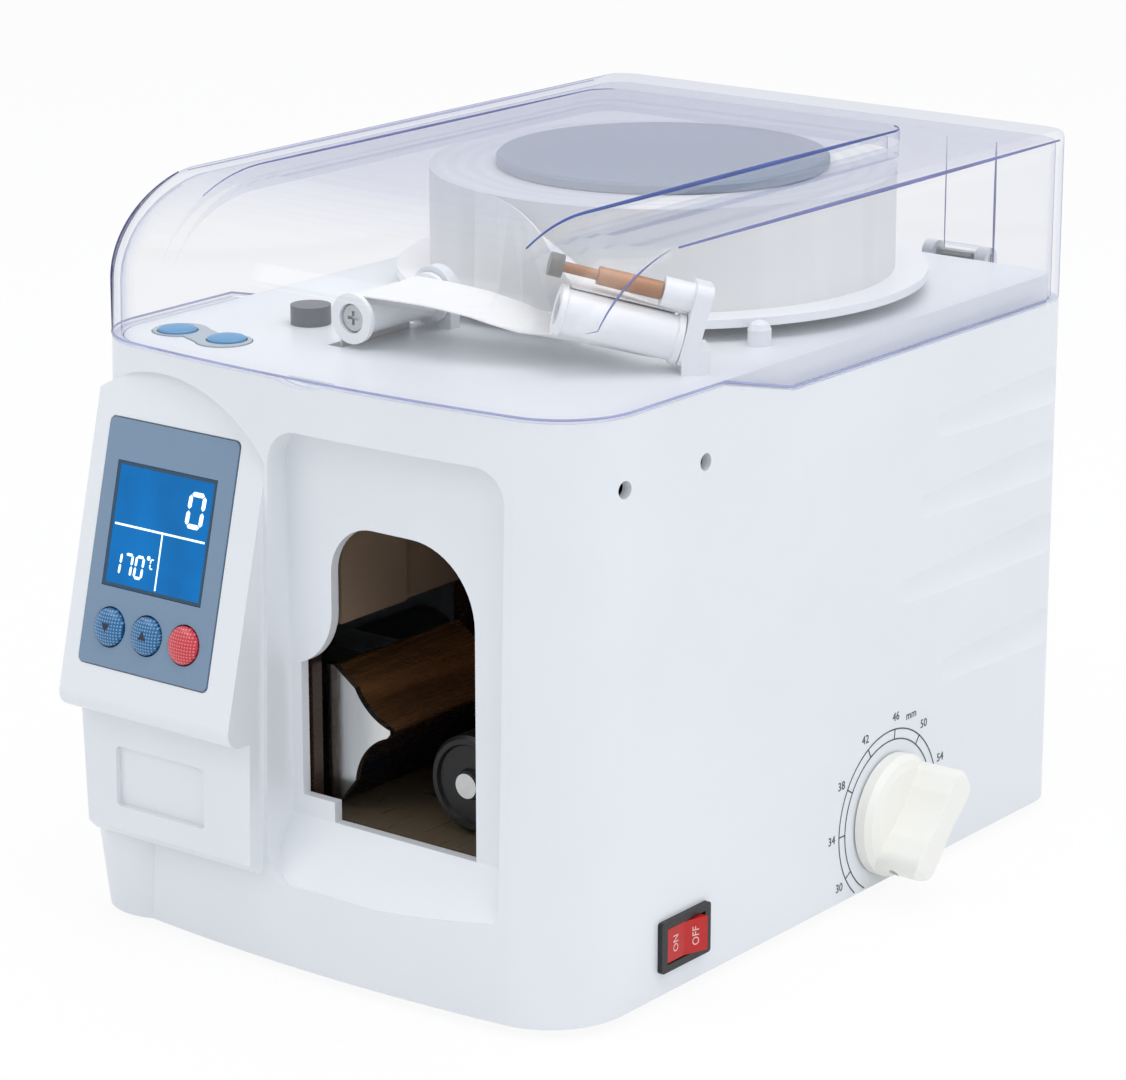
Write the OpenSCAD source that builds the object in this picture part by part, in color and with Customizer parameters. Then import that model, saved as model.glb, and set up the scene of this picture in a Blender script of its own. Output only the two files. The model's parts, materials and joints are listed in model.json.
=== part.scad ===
// Banknote strapping machine.
// Lengths are millimetres and angles are degrees.
// Working frame: x to the right, y to the rear, z up, floor at z = 0.

/* [Housing] */
// Width of the housing, side to side
body_w = 180; // [176:1:210]
// Depth of the housing, front crown to rear wall
body_d = 260; // [250:1:300]
// Height of the cover seam above the floor at the front
seam_front_z = 172; // [166:1:190]
// Drop of the cover seam along the rear of the sides
seam_drop = 8; // [4:0.5:12]
// Wall of the housing
wall = 3; // [2:0.5:3.5]
// Corner radius at the front
front_corner_r = 24; // [18:1:28]
// Corner radius at the rear
rear_corner_r = 14; // [10:1:18]
// Plan radius of the gently bowed front
front_arc_r = 600; // [500:10:900]
// Backward lean of the front
front_lean = 1.7; // [0:0.1:2.5]
// Height of the rubber feet below the housing
foot_h = 3; // [2:0.5:5]
// Radius of a rubber foot
foot_r = 8; // [6:0.5:10]

/* [Control pod] */
// Left edge of the pod from the middle of the housing
pod_left = 81; // [79:1:83]
// Right edge of the pod from the middle of the housing
pod_right = 16; // [15:1:20]
// Lean of the pod's face
pod_lean = 13.8; // [12:0.2:18]
// Distance that the plate's lower edge stands out from the front
pod_out = 12.5; // [8:0.5:15]
// Width of the control plate
plate_w = 49; // [44:1:52]
// Height of the control plate along its slope
plate_h = 70.5; // [68:0.5:76]
// Diameter of a control button
button_d = 11; // [9:0.5:12]
// Travel of a control button
button_travel = 1.2; // [0.6:0.2:1.6]

/* [Note throat] */
// Clear width of the arched opening
throat_w = 51; // [48:1:54]
// Clear height of the arched opening
throat_h = 88; // [84:1:92]
// Depth of the sunken panel round the opening
recess_depth = 8; // [5:0.5:10]
// Distance from the strap to the note stop at the dial's first mark
stop_first = 30; // [28:1:34]
// Travel of the note stop over the dial
stop_travel = 24; // [16:1:28]
// Travel of the press bar
press_travel = 12; // [8:1:12]

/* [Cover] */
// Wall of the clear cover
cover_wall = 2.5; // [2:0.5:3]
// Room between the tape roll and the top of the cover's shoulders
cover_room = 6.5; // [6.5:0.5:15]
// Rise of the middle panel above the shoulders
panel_rise = 4; // [3.5:0.5:6]
// Width of the middle panel
panel_w = 116; // [112:1:126]
// Opening angle of the cover
cover_open = 95; // [60:5:100]

/* [Tape] */
// Width of the paper tape
tape_w = 30; // [20:1:36]
// Radius of a full tape roll
roll_r = 70; // [40:1:74]
// Radius of the reel's tray
tray_r = 80; // [76:1:82]
// Radius of the reel's cap
reel_cap_r = 50; // [30:1:54]
// Body radius of a guide roller
roller_r = 5.3; // [4:0.1:5.6]
// Flange radius of a guide roller
flange_r = 7.3; // [6.8:0.1:7.6]

/* [Controls on the side] */
// Flange radius of the position knob
knob_r = 18.6; // [14:0.2:19]
// Height of the knob above the side
knob_h = 20; // [14:1:24]
// Turn of the knob over the dial
knob_turn = 191; // [150:1:200]
// Length of the switch frame
switch_l = 23; // [19:0.5:26]
// Height of the switch frame
switch_h = 15; // [12:0.5:17]

/* [Hidden] */
$fn = 48;

// Clearances
fit = 0.4;
run_fit = 0.05;
seat_gap = 0.3;
fine = 0.01;

// Colours
white = [0.90, 0.92, 0.94];
warm_white = [0.94, 0.93, 0.90];
steel = [0.72, 0.73, 0.75];
dark = [0.12, 0.12, 0.13];
tan_steel = [0.52, 0.45, 0.36];
rubber_black = [0.06, 0.06, 0.06];
gear_white = [0.88, 0.87, 0.80];

// Housing
half_w = body_w / 2;
front_y = -body_d / 2;
rear_y = body_d / 2;
base_z = foot_h;
seam_rear_z = seam_front_z - seam_drop;
drop_start_y = front_y + 74;
drop_end_y = drop_start_y + 34;
arc_y = front_y + front_arc_r;
corner_x = half_w - front_corner_r;
corner_y = arc_y - sqrt(pow(front_arc_r - front_corner_r, 2) - pow(corner_x, 2));

// Pod
pod_floor_z = base_z + 65;
pod_lip_r = 5;
plate_foot_z = pod_floor_z + 15;
plate_foot_y = front_y + tan(front_lean) * plate_foot_z - pod_out;
plate_mid_x = -(pod_left + pod_right) / 2 - 2;
plate_t = 1.2;
arch_r = 50.75;
arch_x = -(pod_left + pod_right) / 2 - 6.5;
arch_top_z = seam_front_z - wall - 3;
apron_out = 4.5;
apron_z = base_z + 26;
window_w = 38;
window_h = 36;
window_off_x = 4.9;
window_off_z = 22.8;
button_row = 11.4;
button_step = 14.2;
button_proud = 1.6;

// Throat: the sunken panel, the arch and what lies behind
recess_x0 = -14.5;
recess_x1 = 66;
recess_z0 = base_z + 24;
recess_z1 = seam_front_z - 14;
panel_y = front_y + tan(front_lean) * 90 + recess_depth + 2;
throat_x0 = 1;
throat_x1 = throat_x0 + throat_w;
throat_z0 = base_z + 41;
throat_z1 = throat_z0 + throat_h;
arch_left_r = 15;
arch_right_r = 22;
notch_w = 11.6;
notch_z0 = throat_z0 + 6;
notch_z1 = throat_z0 + 45;
strap_y = front_y + 62;
stop_y = strap_y + stop_first;

// Frames inside
plate_z = base_z + 1;
plate_thick = 2;
plate_top_z = plate_z + plate_thick;
deck_frame_z = seam_front_z - 26;
frame_t = 2;
left_frame_x = -12;
right_frame_x = throat_x1 + 4;
frame_y0 = panel_y + wall + 1;
frame_y1 = front_y + 190;

// Deck
deck_z = seam_front_z;
deck_t = 2.5;
deck_under_z = deck_z - deck_t;
deck_inset = wall + fit;
hinge_reach = 6;
hinge_y = rear_y + 4.2;
hinge_z = seam_rear_z + 6;
hinge_x = 45;
knuckle_r = 3.6;
knuckle_w = 14;
pin_r = 1.6;
deck_rear_y = rear_y - 7.5;

// Reel
reel_x = 0;
reel_y = front_y + 168;
tray_t = 2.5;
tray_z = deck_z + 4;
hub_r = 12;
spindle_r = 5;
roll_z = tray_z + tray_t;
cap_t = 3.4;

// Left guide roller, lying along y
roller_l = tape_w + 5;
roller_x = -17.7;
roller_y0 = strap_y - roller_l / 2;
roller_z = deck_z + flange_r + 1.5;
stud_r = 2;

// Right guide roller, turned and raised towards its free end
guide_base = [69.9, front_y + 80.6, deck_z + flange_r + 1.5];
guide_turn = 42.4;
guide_rise = 15;
guide_pin_up = 12;
guide_body_r = 6.4;

// Cover
cover_top_z = roll_z + tape_w + cover_room;
roll_rise = 27;
roll_depth = 40;
panel_back = 0.3;
cover_gap = 0.6;
panel_end_y = front_y + 215;

// Side controls
knob_y = front_y + 160.7;
knob_z = base_z + 21;
knob_gap = 0.6;
shaft_r = 3;
rack_pitch_r = stop_travel / (knob_turn * PI / 180);
rack_teeth = 16;
pointer_angle = 226;
switch_y = front_y + 56.5;
switch_z = base_z + 14.5;
rocker_w = switch_h - 5;
screw_hole_r = 2.5;
screw_ys = [front_y + 29.4, front_y + 65.6];
screw_z = seam_front_z - 19.6;

// Press
press_z = throat_z0 + 27;
press_x0 = left_frame_x + frame_t + 0.6;
press_pitch_r = 6;
press_teeth = 16;
press_drive_x = -45;
press_y = strap_y + 14;
gear_m = 0.75;

// Tape feed
feed_z = deck_z - 42;
tape_x = roller_x - roller_r - 0.6;
feed_teeth = 16;
pinion_teeth = 12;
feed_half = gear_m * feed_teeth / 2;
feed_r = 5.3;
feed_x = tape_x - feed_half;
pinch_x = tape_x + feed_half;
feed_motor_x = feed_x - gear_m * (feed_teeth + pinion_teeth) / 2;
feed_y0 = strap_y - tape_w / 2;
feed_gear_y = feed_y0 + tape_w + 5;

// The origin is the middle of the floor under the whole machine

// Values drawn from the ones above
pod_lip_z = pod_floor_z + pod_lip_r;
pod_touch_z = pod_lip_z + pod_lip_r * sin(pod_lean);
pod_lip_y = pod_face_y(pod_touch_z) + pod_lip_r * cos(pod_lean);
pod_air_y = front_y - pod_out - 12;
pod_top_z = seam_front_z + 20;
place_x = -knob_h / 2;
place_y = -(pod_lip_y - pod_lip_r + hinge_y + knuckle_r) / 2;
foot_xs = [16 - half_w, half_w - 16];
foot_ys = [front_y + 27, rear_y - 27];
inlet_x = -55;
inlet_z = base_z + 30;
key_xs = [-71.7, -52.8];
key_y = front_y + 31.2;
key_r = 5.6;
key_travel = 0.8;
thumb_x = -48;
thumb_y = front_y + 62;
peg_x = 70;
peg_y = front_y + 119;
tape_t = 0.4;
lead_gap = tape_t / 2 + 0.6;
wrap_r = roller_r + lead_gap;
guide_wrap_r = guide_body_r + lead_gap;
lead_mid_y = roller_y0 + roller_l / 2;
axis_u = [-cos(guide_turn) * cos(guide_rise), -sin(guide_turn) * cos(guide_rise), sin(guide_rise)];
axis_up = [cos(guide_turn) * sin(guide_rise), sin(guide_turn) * sin(guide_rise), cos(guide_rise)];
axis_side = [sin(guide_turn), -cos(guide_turn), 0];
guide_mid = guide_base + axis_u * roller_l / 2;
roll_leave = 248.2;
roll_out_r = roll_r + 0.5;
lead_z = roll_z + tape_w / 2;
LEAD = concat(
    [for (z = [feed_z - 16, feed_z + 4, roller_z - 8]) [[tape_x, lead_mid_y, z], [0, -1, 0]]],
    [for (a = [180:-22.5:90]) [[roller_x + wrap_r * cos(a), lead_mid_y, roller_z + wrap_r * sin(a)],
                               [0, -1, 0]]],
    [[[5, lead_mid_y + 1, roller_z + wrap_r - 0.4], [-0.05, -1, 0.05]],
     [[24, lead_mid_y + 3, roller_z + 2.6], [-0.3, -0.93, 0.14]],
     [[41, lead_mid_y + 6, roller_z - 2], [-0.55, -0.8, 0.22]]],
    [for (a = [250:-20:90]) [guide_mid - (axis_side * -cos(a) - axis_up * sin(a)) * guide_wrap_r, axis_u]],
    [[[49, front_y + 76, roller_z + 12.4], [-0.68, -0.6, 0.42]],
     [[33, front_y + 82, lead_z - 0.4], [-0.45, -0.42, 0.78]],
     [[14, front_y + 88.5, lead_z], [-0.2, -0.2, 0.96]],
     [[-6, front_y + 96, lead_z], [0, 0, 1]],
     [[reel_x + roll_out_r * cos(roll_leave), reel_y + roll_out_r * sin(roll_leave), lead_z],
      [0, 0, 1]]]);
lead_steps = 2;
rocker_pivot_x = half_w - 3;
rocker_tilt = 9;
pinion_x = half_w - 16;
rack_m = 2 * rack_pitch_r / rack_teeth;
rack_back = 5;
rack_behind = stop_travel + 10;
stop_arm_z = knob_z + rack_pitch_r + rack_back - 1.6;
low_frame_z = feed_z - 9;
spacer_ys = [frame_y0 + 12, 0, frame_y1 - 14];
spacer_zs = [plate_top_z + 14, throat_z0 - 14];
jaw_y = frame_y0 + 6;
jaw_point_x = throat_x0 + 12.2;
jaw_back_x = left_frame_x + frame_t + 0.3;
press_axis_z = press_z - 3 - press_pitch_r;
feed_motor_y = feed_gear_y + 7;
seal_z = throat_z0 + 56;
seal_x = tape_x - 1.5;
seal_travel = 5;
boss_x = half_w - 9;
boss_ys = [corner_y + 12, rear_y - 16];

module place() { translate([place_x, place_y, 0]) children(); }

// Sweeps a y-z outline along x
module along_x(x0, x1) {
    translate([x0, 0, 0]) rotate([90, 0, 90]) linear_extrude(x1 - x0) children();
}

// Sweeps an x-z outline along y
module along_y(y0, y1) {
    translate([0, y1, 0]) rotate([90, 0, 0]) linear_extrude(y1 - y0) children();
}

module box(x0, y0, z0, x1, y1, z1) {
    translate([x0, y0, z0]) cube([x1 - x0, y1 - y0, z1 - z0]);
}

module rounded(x0, y0, x1, y1, r) {
    translate([x0 + r, y0]) square([x1 - x0 - 2 * r, y1 - y0]);
    translate([x0, y0 + r]) square([x1 - x0, y1 - y0 - 2 * r]);
    for (x = [x0 + r, x1 - r], y = [y0 + r, y1 - r]) translate([x, y]) circle(r = r);
}

// A rod or disc along y from y0 to y1
module rod_y(x, z, y0, y1, r) {
    translate([x, y0, z]) rotate([-90, 0, 0]) cylinder(r = r, h = y1 - y0);
}

// A rod or disc along x from x0 to x1
module rod_x(y, z, x0, x1, r) {
    translate([x0, y, z]) rotate([0, 90, 0]) cylinder(r = r, h = x1 - x0);
}

module rod_z(x, y, z0, z1, r) {
    translate([x, y, z0]) cylinder(r = r, h = z1 - z0);
}

// Involute tooth flank from the base circle to the tip
function involute(base_r, roll) =
    base_r * [cos(roll) + roll * PI / 180 * sin(roll), sin(roll) - roll * PI / 180 * cos(roll)];
function turned(p, a) = [p[0] * cos(a) - p[1] * sin(a), p[0] * sin(a) + p[1] * cos(a)];
function mirrored(p) = [p[0], -p[1]];

// Spur gear outline with one tooth centred on the +x axis
module gear_outline(teeth, m, backlash = 0.08) {
    pitch_r = m * teeth / 2;
    base_r = pitch_r * cos(20);
    tip_r = pitch_r + 0.95 * m;
    root_r = pitch_r - 1.2 * m;
    tip_roll = sqrt(pow(tip_r / base_r, 2) - 1) * 180 / PI;
    pitch_roll = tan(20) * 180 / PI;
    half = 90 / teeth + pitch_roll - 20 - backlash / m * 20;
    start_r = max(root_r, base_r);
    steps = 4;
    flank = [for (i = [0:steps]) turned(mirrored(involute(base_r, tip_roll * i / steps)), half)];
    upper = [for (i = [0:steps]) flank[i]];
    lower = [for (i = [steps:-1:0]) mirrored(flank[i])];
    foot_angle = atan2(flank[0][1], flank[0][0]);
    tooth = concat([[root_r * cos(foot_angle) - fine, -root_r * sin(foot_angle)]],
                   [for (i = [0:steps]) mirrored(flank[i])],
                   [for (i = [steps:-1:0]) flank[i]],
                   [[root_r * cos(foot_angle) - fine, root_r * sin(foot_angle)]]);
    circle(r = root_r);
    for (k = [0:teeth - 1]) rotate(360 * k / teeth) polygon(tooth);
}

// Rack outline along +x, teeth up, pitch line at y = 0, one gap centred on x = 0
module rack_outline(length_left, length_right, m, back) {
    pitch = PI * m;
    n0 = -floor(length_left / pitch);
    n1 = floor(length_right / pitch) - 1;
    tip = 0.9 * m;
    root = 1.2 * m;
    half = pitch / 4 - 0.05;
    translate([-length_left, -back]) square([length_left + length_right, back - root]);
    for (k = [n0:n1]) translate([(k + 0.5) * pitch, 0])
        polygon([[-half - root * tan(20), -root - fine], [-half + tip * tan(20), tip],
                 [half - tip * tan(20), tip], [half + root * tan(20), -root - fine]]);
}

// Plan of the housing: bowed front, round front corners, sides running on
module plan_front(inset) {
    blend = front_arc_r - front_corner_r;
    tangent_x = (front_arc_r - inset) * corner_x / blend;
    intersection() {
        translate([0, arc_y]) circle(r = front_arc_r - inset, $fn = 480);
        translate([-tangent_x, front_y - 1]) square([2 * tangent_x, corner_y - front_y + 20]);
    }
    for (x = [-corner_x, corner_x])
        translate([x, corner_y]) circle(r = front_corner_r - inset, $fn = 72);
    translate([inset - half_w, corner_y]) square([body_w - 2 * inset, body_d]);
}

// Plan of the housing: sides and round rear corners
module plan_rear(inset) {
    rounded(inset - half_w, 2 * front_y, half_w - inset, rear_y - inset, rear_corner_r - inset);
}

module lean_prism(inset) {
    translate([0, front_y, 0]) rotate([-front_lean, 0, 0])
        translate([0, -front_y, -20]) linear_extrude(cover_top_z + 60) plan_front(inset);
}

module body_block(inset, z0, z1) {
    intersection() {
        lean_prism(inset);
        translate([0, 0, z0]) linear_extrude(z1 - z0) plan_rear(inset);
    }
}

// Everything above the stepped seam line, raised by gap
module above_seam(gap) {
    along_x(-body_w, body_w)
        polygon([[2 * front_y, seam_front_z + gap], [drop_start_y, seam_front_z + gap],
                 [drop_end_y, seam_rear_z + gap], [2 * rear_y, seam_rear_z + gap],
                 [2 * rear_y, 2 * seam_front_z], [2 * front_y, 2 * seam_front_z]]);
}

// Everything in front of the inner surface of the pod's sloping wall
module pod_skin() {
    t = plate_t + wall;
    intersection() {
        along_y(pod_air_y - 20, front_y + 40) pod_outline(wall);
        along_x(-half_w - 1, 1)
            polygon([[pod_face_y(pod_floor_z) + t, pod_floor_z - 1], [pod_face_y(pod_top_z) + t, pod_top_z],
                     [pod_air_y - 10, pod_top_z], [pod_air_y - 10, pod_floor_z - 1]]);
    }
}

function pod_face_y(z) = plate_foot_y + (z - plate_foot_z) * tan(pod_lean);

// Arched outline of the pod in x and z
module pod_outline(grow = 0) {
    x0 = -pod_left - grow;
    x1 = grow - pod_right;
    intersection() {
        translate([x0, pod_floor_z - grow]) square([x1 - x0, body_d]);
        union() {
            translate([arch_x, arch_top_z - arch_r]) circle(r = arch_r + grow, $fn = 96);
            translate([x0, 0]) square([x1 - x0, arch_top_z - arch_r]);
        }
    }
}

// The pod's side view in y and z, with a round lower lip, before its face is cut
module pod_profile() {
    polygon([[front_y / 2, pod_top_z], [pod_air_y, pod_top_z], [pod_air_y, pod_touch_z],
             [pod_face_y(pod_touch_z), pod_touch_z], [pod_lip_y, pod_lip_z],
             [pod_lip_y, pod_floor_z], [front_y / 2, pod_floor_z]]);
    translate([pod_lip_y, pod_lip_z]) circle(r = pod_lip_r);
}

// Places children with x across the control plate, y up its slope and z out of its face
module on_plate(u, v, out = 0) {
    translate([plate_mid_x, plate_foot_y, plate_foot_z]) rotate([90 - pod_lean, 0, 0])
        translate([u - plate_w / 2, v, out]) children();
}

module pod_block() {
    intersection() {
        along_y(pod_air_y + 3, front_y + wall + 20) pod_outline();
        along_x(-half_w, 0) pod_profile();
    }
    intersection() {
        along_x(-pod_left - 1, -pod_right)
            polygon([[front_y + 20, apron_z], [front_y - apron_out + 3, apron_z],
                     [front_y - apron_out, apron_z + 3], [front_y - apron_out + 1, pod_floor_z + fine],
                     [front_y + 20, pod_floor_z + fine]]);
        along_y(front_y - 20, front_y + 30)
            polygon([[-pod_left, pod_floor_z + 1], [2.6 - pod_left, apron_z - 1], [0, apron_z - 1],
                     [0, pod_floor_z + 1]]);
    }
}

// The fuller, tapered corner under the apron
module corner_fill() {
    intersection() {
        translate([-69.1, front_y + 19.8, base_z - 2]) rotate([3.75, -5, 0]) cylinder(r = 18, h = 50);
        box(-half_w - 5, front_y - 5, base_z, 0, 0, apron_z + 6);
    }
}

// Air in front of the pod's face
module pod_scoop() {
    intersection() {
        along_y(pod_air_y - 10, front_y + 40) pod_outline(0.4);
        along_x(-body_w, 1)
            polygon([[pod_face_y(pod_touch_z), pod_touch_z], [pod_face_y(pod_top_z), pod_top_z],
                     [pod_air_y - 5, pod_top_z], [pod_air_y - 5, pod_touch_z]]);
    }
}

// Space inside the pod, open to the housing behind it
module pod_hollow() {
    along_y(pod_air_y, front_y + wall + 12) intersection() {
        pod_outline(-wall);
        translate([-body_w, 0]) square([body_w, pod_floor_z + plate_h + 4]);
    }
}

module recess_outline(grow) {
    rounded(recess_x0 - grow, recess_z0 - grow, recess_x1 + grow, recess_z1 + grow, 10);
}

// Side view of the recess: upright panel, then the sill sloping out and down
module recess_profile(inset) {
    polygon([[front_y - 20, recess_z0 - 2 - inset], [front_y, recess_z0 - 2 - inset],
             [panel_y + inset, throat_z0 - inset], [panel_y + inset, 2 * seam_front_z],
             [front_y - 20, 2 * seam_front_z]]);
}

module recess_pocket() {
    intersection() {
        along_y(front_y - 20, panel_y + 20) recess_outline(0);
        along_x(recess_x0 - 1, recess_x1 + 1) recess_profile(0);
    }
}

module recess_backing() {
    intersection() {
        along_y(front_y, panel_y + wall) recess_outline(wall);
        along_x(recess_x0 - wall, recess_x1 + wall) recess_profile(wall);
    }
}

// The opening: arch with uneven shoulders, and the notch on its left
module throat_outline(grow = 0) {
    x0 = throat_x0 - grow;
    x1 = throat_x1 + grow;
    z1 = throat_z1 + grow;
    left_x = x0 + arch_left_r;
    right_x = x1 - arch_right_r;
    translate([x0, throat_z0 - grow]) square([x1 - x0, z1 - arch_right_r - throat_z0 + grow]);
    translate([x0, z1 - arch_right_r - 1]) square([right_x - x0, arch_right_r - arch_left_r + 1]);
    translate([left_x, z1 - arch_left_r - 1]) square([right_x - left_x, arch_left_r + 1]);
    translate([left_x, z1 - arch_left_r]) circle(r = arch_left_r);
    translate([right_x, z1 - arch_right_r]) circle(r = arch_right_r);
    translate([throat_x0 - notch_w, notch_z0]) square([notch_w + 1, notch_z1 - notch_z0]);
    // the panel's lower end sweeps out to the notch
    difference() {
        translate([throat_x0 - notch_w, notch_z1 - 1]) square([notch_w + 1, 18]);
        translate([throat_x0 - 18, notch_z1 + 17]) circle(r = 18, $fn = 96);
    }
}

module flutes(side) {
    for (f = [[183, 135], [166, 88], [189, 58], [176, 112]])
        translate([side * (half_w + 13.5), front_y + f[0], base_z + f[1]])
            rotate([0, 0, side * 0.75]) rotate([-90, 0, 0]) cylinder(r = 14, h = body_d);
}

module hinge_ears() {
    for (s = [-1, 1], e = [-1, 1]) {
        x = s * hinge_x + e * (knuckle_w / 2 + 2.6);
        along_x(x - 2, x + 2) {
            polygon([[rear_y - 0.5, hinge_z - 22], [hinge_y + knuckle_r, hinge_z - 14],
                     [hinge_y + knuckle_r, hinge_z], [rear_y + fit, hinge_z],
                     [rear_y + fit, seam_rear_z - 1], [rear_y - 0.5, seam_rear_z - 1]]);
            translate([hinge_y, hinge_z]) circle(r = knuckle_r);
        }
    }
}

// Corner posts that the base plate is screwed to, each on a rib from the side
module screw_bosses() {
    for (s = [-1, 1], y = boss_ys) {
        rod_z(s * boss_x, y, plate_top_z, plate_top_z + 32, 4);
        box(min(s * boss_x, s * half_w), y - 1.2, plate_top_z,
            max(s * boss_x, s * half_w), y + 1.2, plate_top_z + 32);
    }
}

module housing() place() color(white) difference() {
    union() {
        difference() {
            union() {
                body_block(0, base_z, seam_front_z);
                pod_block();
                corner_fill();
            }
            difference() {
                union() {
                    body_block(wall, base_z - 1, seam_front_z + 1);
                    pod_hollow();
                }
                recess_backing();
                pod_skin();
                screw_bosses();
            }
            above_seam(0);
        }
        hinge_ears();
    }
    pod_scoop();
    recess_pocket();
    along_y(front_y, panel_y + wall + 1) throat_outline();
    // seat of the control plate, and the openings behind it
    on_plate(-fit, -fit, -plate_t) linear_extrude(5)
        rounded(0, 0, plate_w + 2 * fit, plate_h + 2 * fit, 2);
    on_plate(window_off_x, window_off_z, -8) cube([window_w, window_h, 9]);
    for (i = [0:2])
        on_plate(plate_w / 2 + (i - 1) * button_step, button_row, -8)
            cylinder(r = button_d / 2 + fit, h = 9);
    // bare sunken field on the apron
    along_y(front_y - apron_out - 1, front_y - apron_out + 2.2)
        rounded(plate_mid_x - 17, apron_z + 10, plate_mid_x + 17, apron_z + 28, 1.5);
    // thumb scoop under the cover's edge
    rod_y(-3.5, seam_front_z + 23.4, front_y - 2, front_y + 11, 25);
    for (s = [-1, 1]) flutes(s);
    // side holes: cover screws, switch and knob shaft
    for (y = screw_ys) rod_x(y, screw_z, half_w - wall - 1, half_w + 1, screw_hole_r);
    box(half_w - wall - 1, switch_y - switch_l / 2 + 1.5, switch_z - switch_h / 2 + 1.5,
        half_w + 1, switch_y + switch_l / 2 - 1.5, switch_z + switch_h / 2 - 1.5);
    rod_x(knob_y, knob_z, half_w - wall - 1, half_w + 1, shaft_r + 2 + seat_gap);
    // rear: power inlet and cooling slots
    box(inlet_x - 13.8, rear_y - wall - 1, inlet_z - 10, inlet_x + 13.8, rear_y + 1, inlet_z + 10);
    for (i = [-4:4])
        box(i * 7 - 1.25, rear_y - wall - 1, base_z + 80, i * 7 + 1.25, rear_y + 1, base_z + 110);
    for (x = [-boss_x, boss_x], y = boss_ys)
        rod_z(x, y, plate_top_z - 1, plate_top_z + 16, 1.55);
    // bores of the hinge ears
    for (s = [-1, 1])
        rod_x(hinge_y, hinge_z, s * hinge_x - knuckle_w, s * hinge_x + knuckle_w, pin_r + run_fit);
}

module base_plate() place() color(steel) difference() {
    body_block(wall + fit, plate_z, plate_z + plate_thick);
    for (x = foot_xs, y = foot_ys) rod_z(x, y, plate_z - 1, plate_z + plate_thick + 1, 2.2);
    for (x = [-boss_x, boss_x], y = boss_ys) rod_z(x, y, plate_z - 1, plate_top_z + 1, 1.8);
    for (i = [-5:5]) box(i * 8 - 1.5, 40, plate_z - 1, i * 8 + 1.5, 80, plate_z + plate_thick + 1);
}

module feet() place() color(rubber_black)
    for (x = foot_xs, y = foot_ys)
        translate([x, y, 0]) rotate_extrude()
            polygon([[3.6, 2], [3.6, 0.8], [4.4, 0], [foot_r - 1, 0], [foot_r, 1],
                     [foot_r - 1, plate_z], [2.2, plate_z], [2.2, 2]]);

module foot_screws() place() color(steel)
    for (x = foot_xs, y = foot_ys) {
        rod_z(x, y, 2 - 1.2, 2, 3.2);
        rod_z(x, y, 2 - fine, plate_z + plate_thick + 2, 1.9);
        translate([x, y, plate_z + plate_thick]) difference() {
            cylinder(r = 3.6, h = 2.4, $fn = 6);
            translate([0, 0, -1]) cylinder(r = 1.9 - fine, h = 5);
        }
    }

// Slots and seats in the deck
slot_x0 = tape_x - 3;
slot_x1 = tape_x + 2.4;

module top_deck() place() color(white) difference() {
    union() {
        intersection() {
            body_block(deck_inset, seam_rear_z - 5, deck_z);
            box(-half_w, front_y, 0, half_w, deck_rear_y, deck_z + 1);
        }
        rod_z(reel_x, reel_y, deck_z - 1, deck_z + 1.5, 30);
        // upstand that carries the left roller's stud
        box(roller_x - 7, roller_y0 + roller_l + 0.6, deck_z - 1,
            roller_x + 7, roller_y0 + roller_l + 4.6, roller_z + 2);
        rod_y(roller_x, roller_z + 2, roller_y0 + roller_l + 0.6, roller_y0 + roller_l + 4.6, 7);
        translate([peg_x, peg_y, 0]) rotate_extrude()
            polygon([[0, deck_z - 1], [3.4, deck_z - 1], [3.4, deck_z + 4.6], [2.6, deck_z + 6.2],
                     [1.4, deck_z + 6.9], [0, deck_z + 7.1]]);
    }
    // hollow underside with the reel boss and the keypad well left standing
    difference() {
        intersection() {
            body_block(deck_inset + deck_t, seam_rear_z - 6, deck_z - deck_t);
            box(-half_w, front_y, 0, half_w, deck_rear_y - deck_t, deck_z);
        }
        rod_z(reel_x, reel_y, seam_rear_z - 5, deck_z, spindle_r + 4);
        for (x = key_xs) rod_z(x, key_y, deck_z - 5, deck_z, key_r + 2.6);
        rod_z(thumb_x, thumb_y, seam_rear_z - 5, deck_z, 6);
    }
    // no skirt above the pod and the sunken panel
    difference() {
        box(-half_w, front_y, seam_rear_z - 6, half_w, panel_y + wall + 7, deck_under_z);
        for (x = key_xs) rod_z(x, key_y, deck_z - 5, deck_z, key_r + 2.6);
    }
    rod_z(reel_x, reel_y, seam_rear_z - 6, deck_z + 2, spindle_r + run_fit);
    box(slot_x0, roller_y0, seam_rear_z - 6, slot_x1, roller_y0 + roller_l, deck_z + 1);
    translate([0, 0, deck_z - 0.8]) linear_extrude(2) keypad_outline(fit);
    for (x = key_xs) rod_z(x, key_y, deck_z - 6, deck_z + 1, key_r + fit);
    rod_y(roller_x, roller_z, roller_y0 + roller_l, roller_y0 + roller_l + 6, stud_r + 0.02);
    rod_z(thumb_x, thumb_y, seam_rear_z - 6, deck_z + 1, 2.1);
    // sloping thumb scoop at the front edge
    rod_y(-3.5, seam_front_z + 23.4, front_y - 2, front_y + 11, 25);
}

// Two round pads joined by a slanting neck
module keypad_outline(grow) {
    dy = [1.2, -1.2];
    for (i = [0:1]) translate([key_xs[i], key_y + dy[i]]) circle(r = 8 + grow);
    polygon([[key_xs[0], key_y + dy[0] + 8 + grow], [key_xs[1], key_y + dy[1] + 3 + grow],
             [key_xs[1], key_y + dy[1] - 8 - grow], [key_xs[0], key_y + dy[0] - 3 - grow]]);
}

module deck_keypad() place() color([0.72, 0.76, 0.79]) difference() {
    translate([0, 0, deck_z - 0.8]) linear_extrude(1.1) keypad_outline(0);
    for (x = key_xs) rod_z(x, key_y, deck_z - 2, deck_z + 1, key_r + fit);
}

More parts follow.
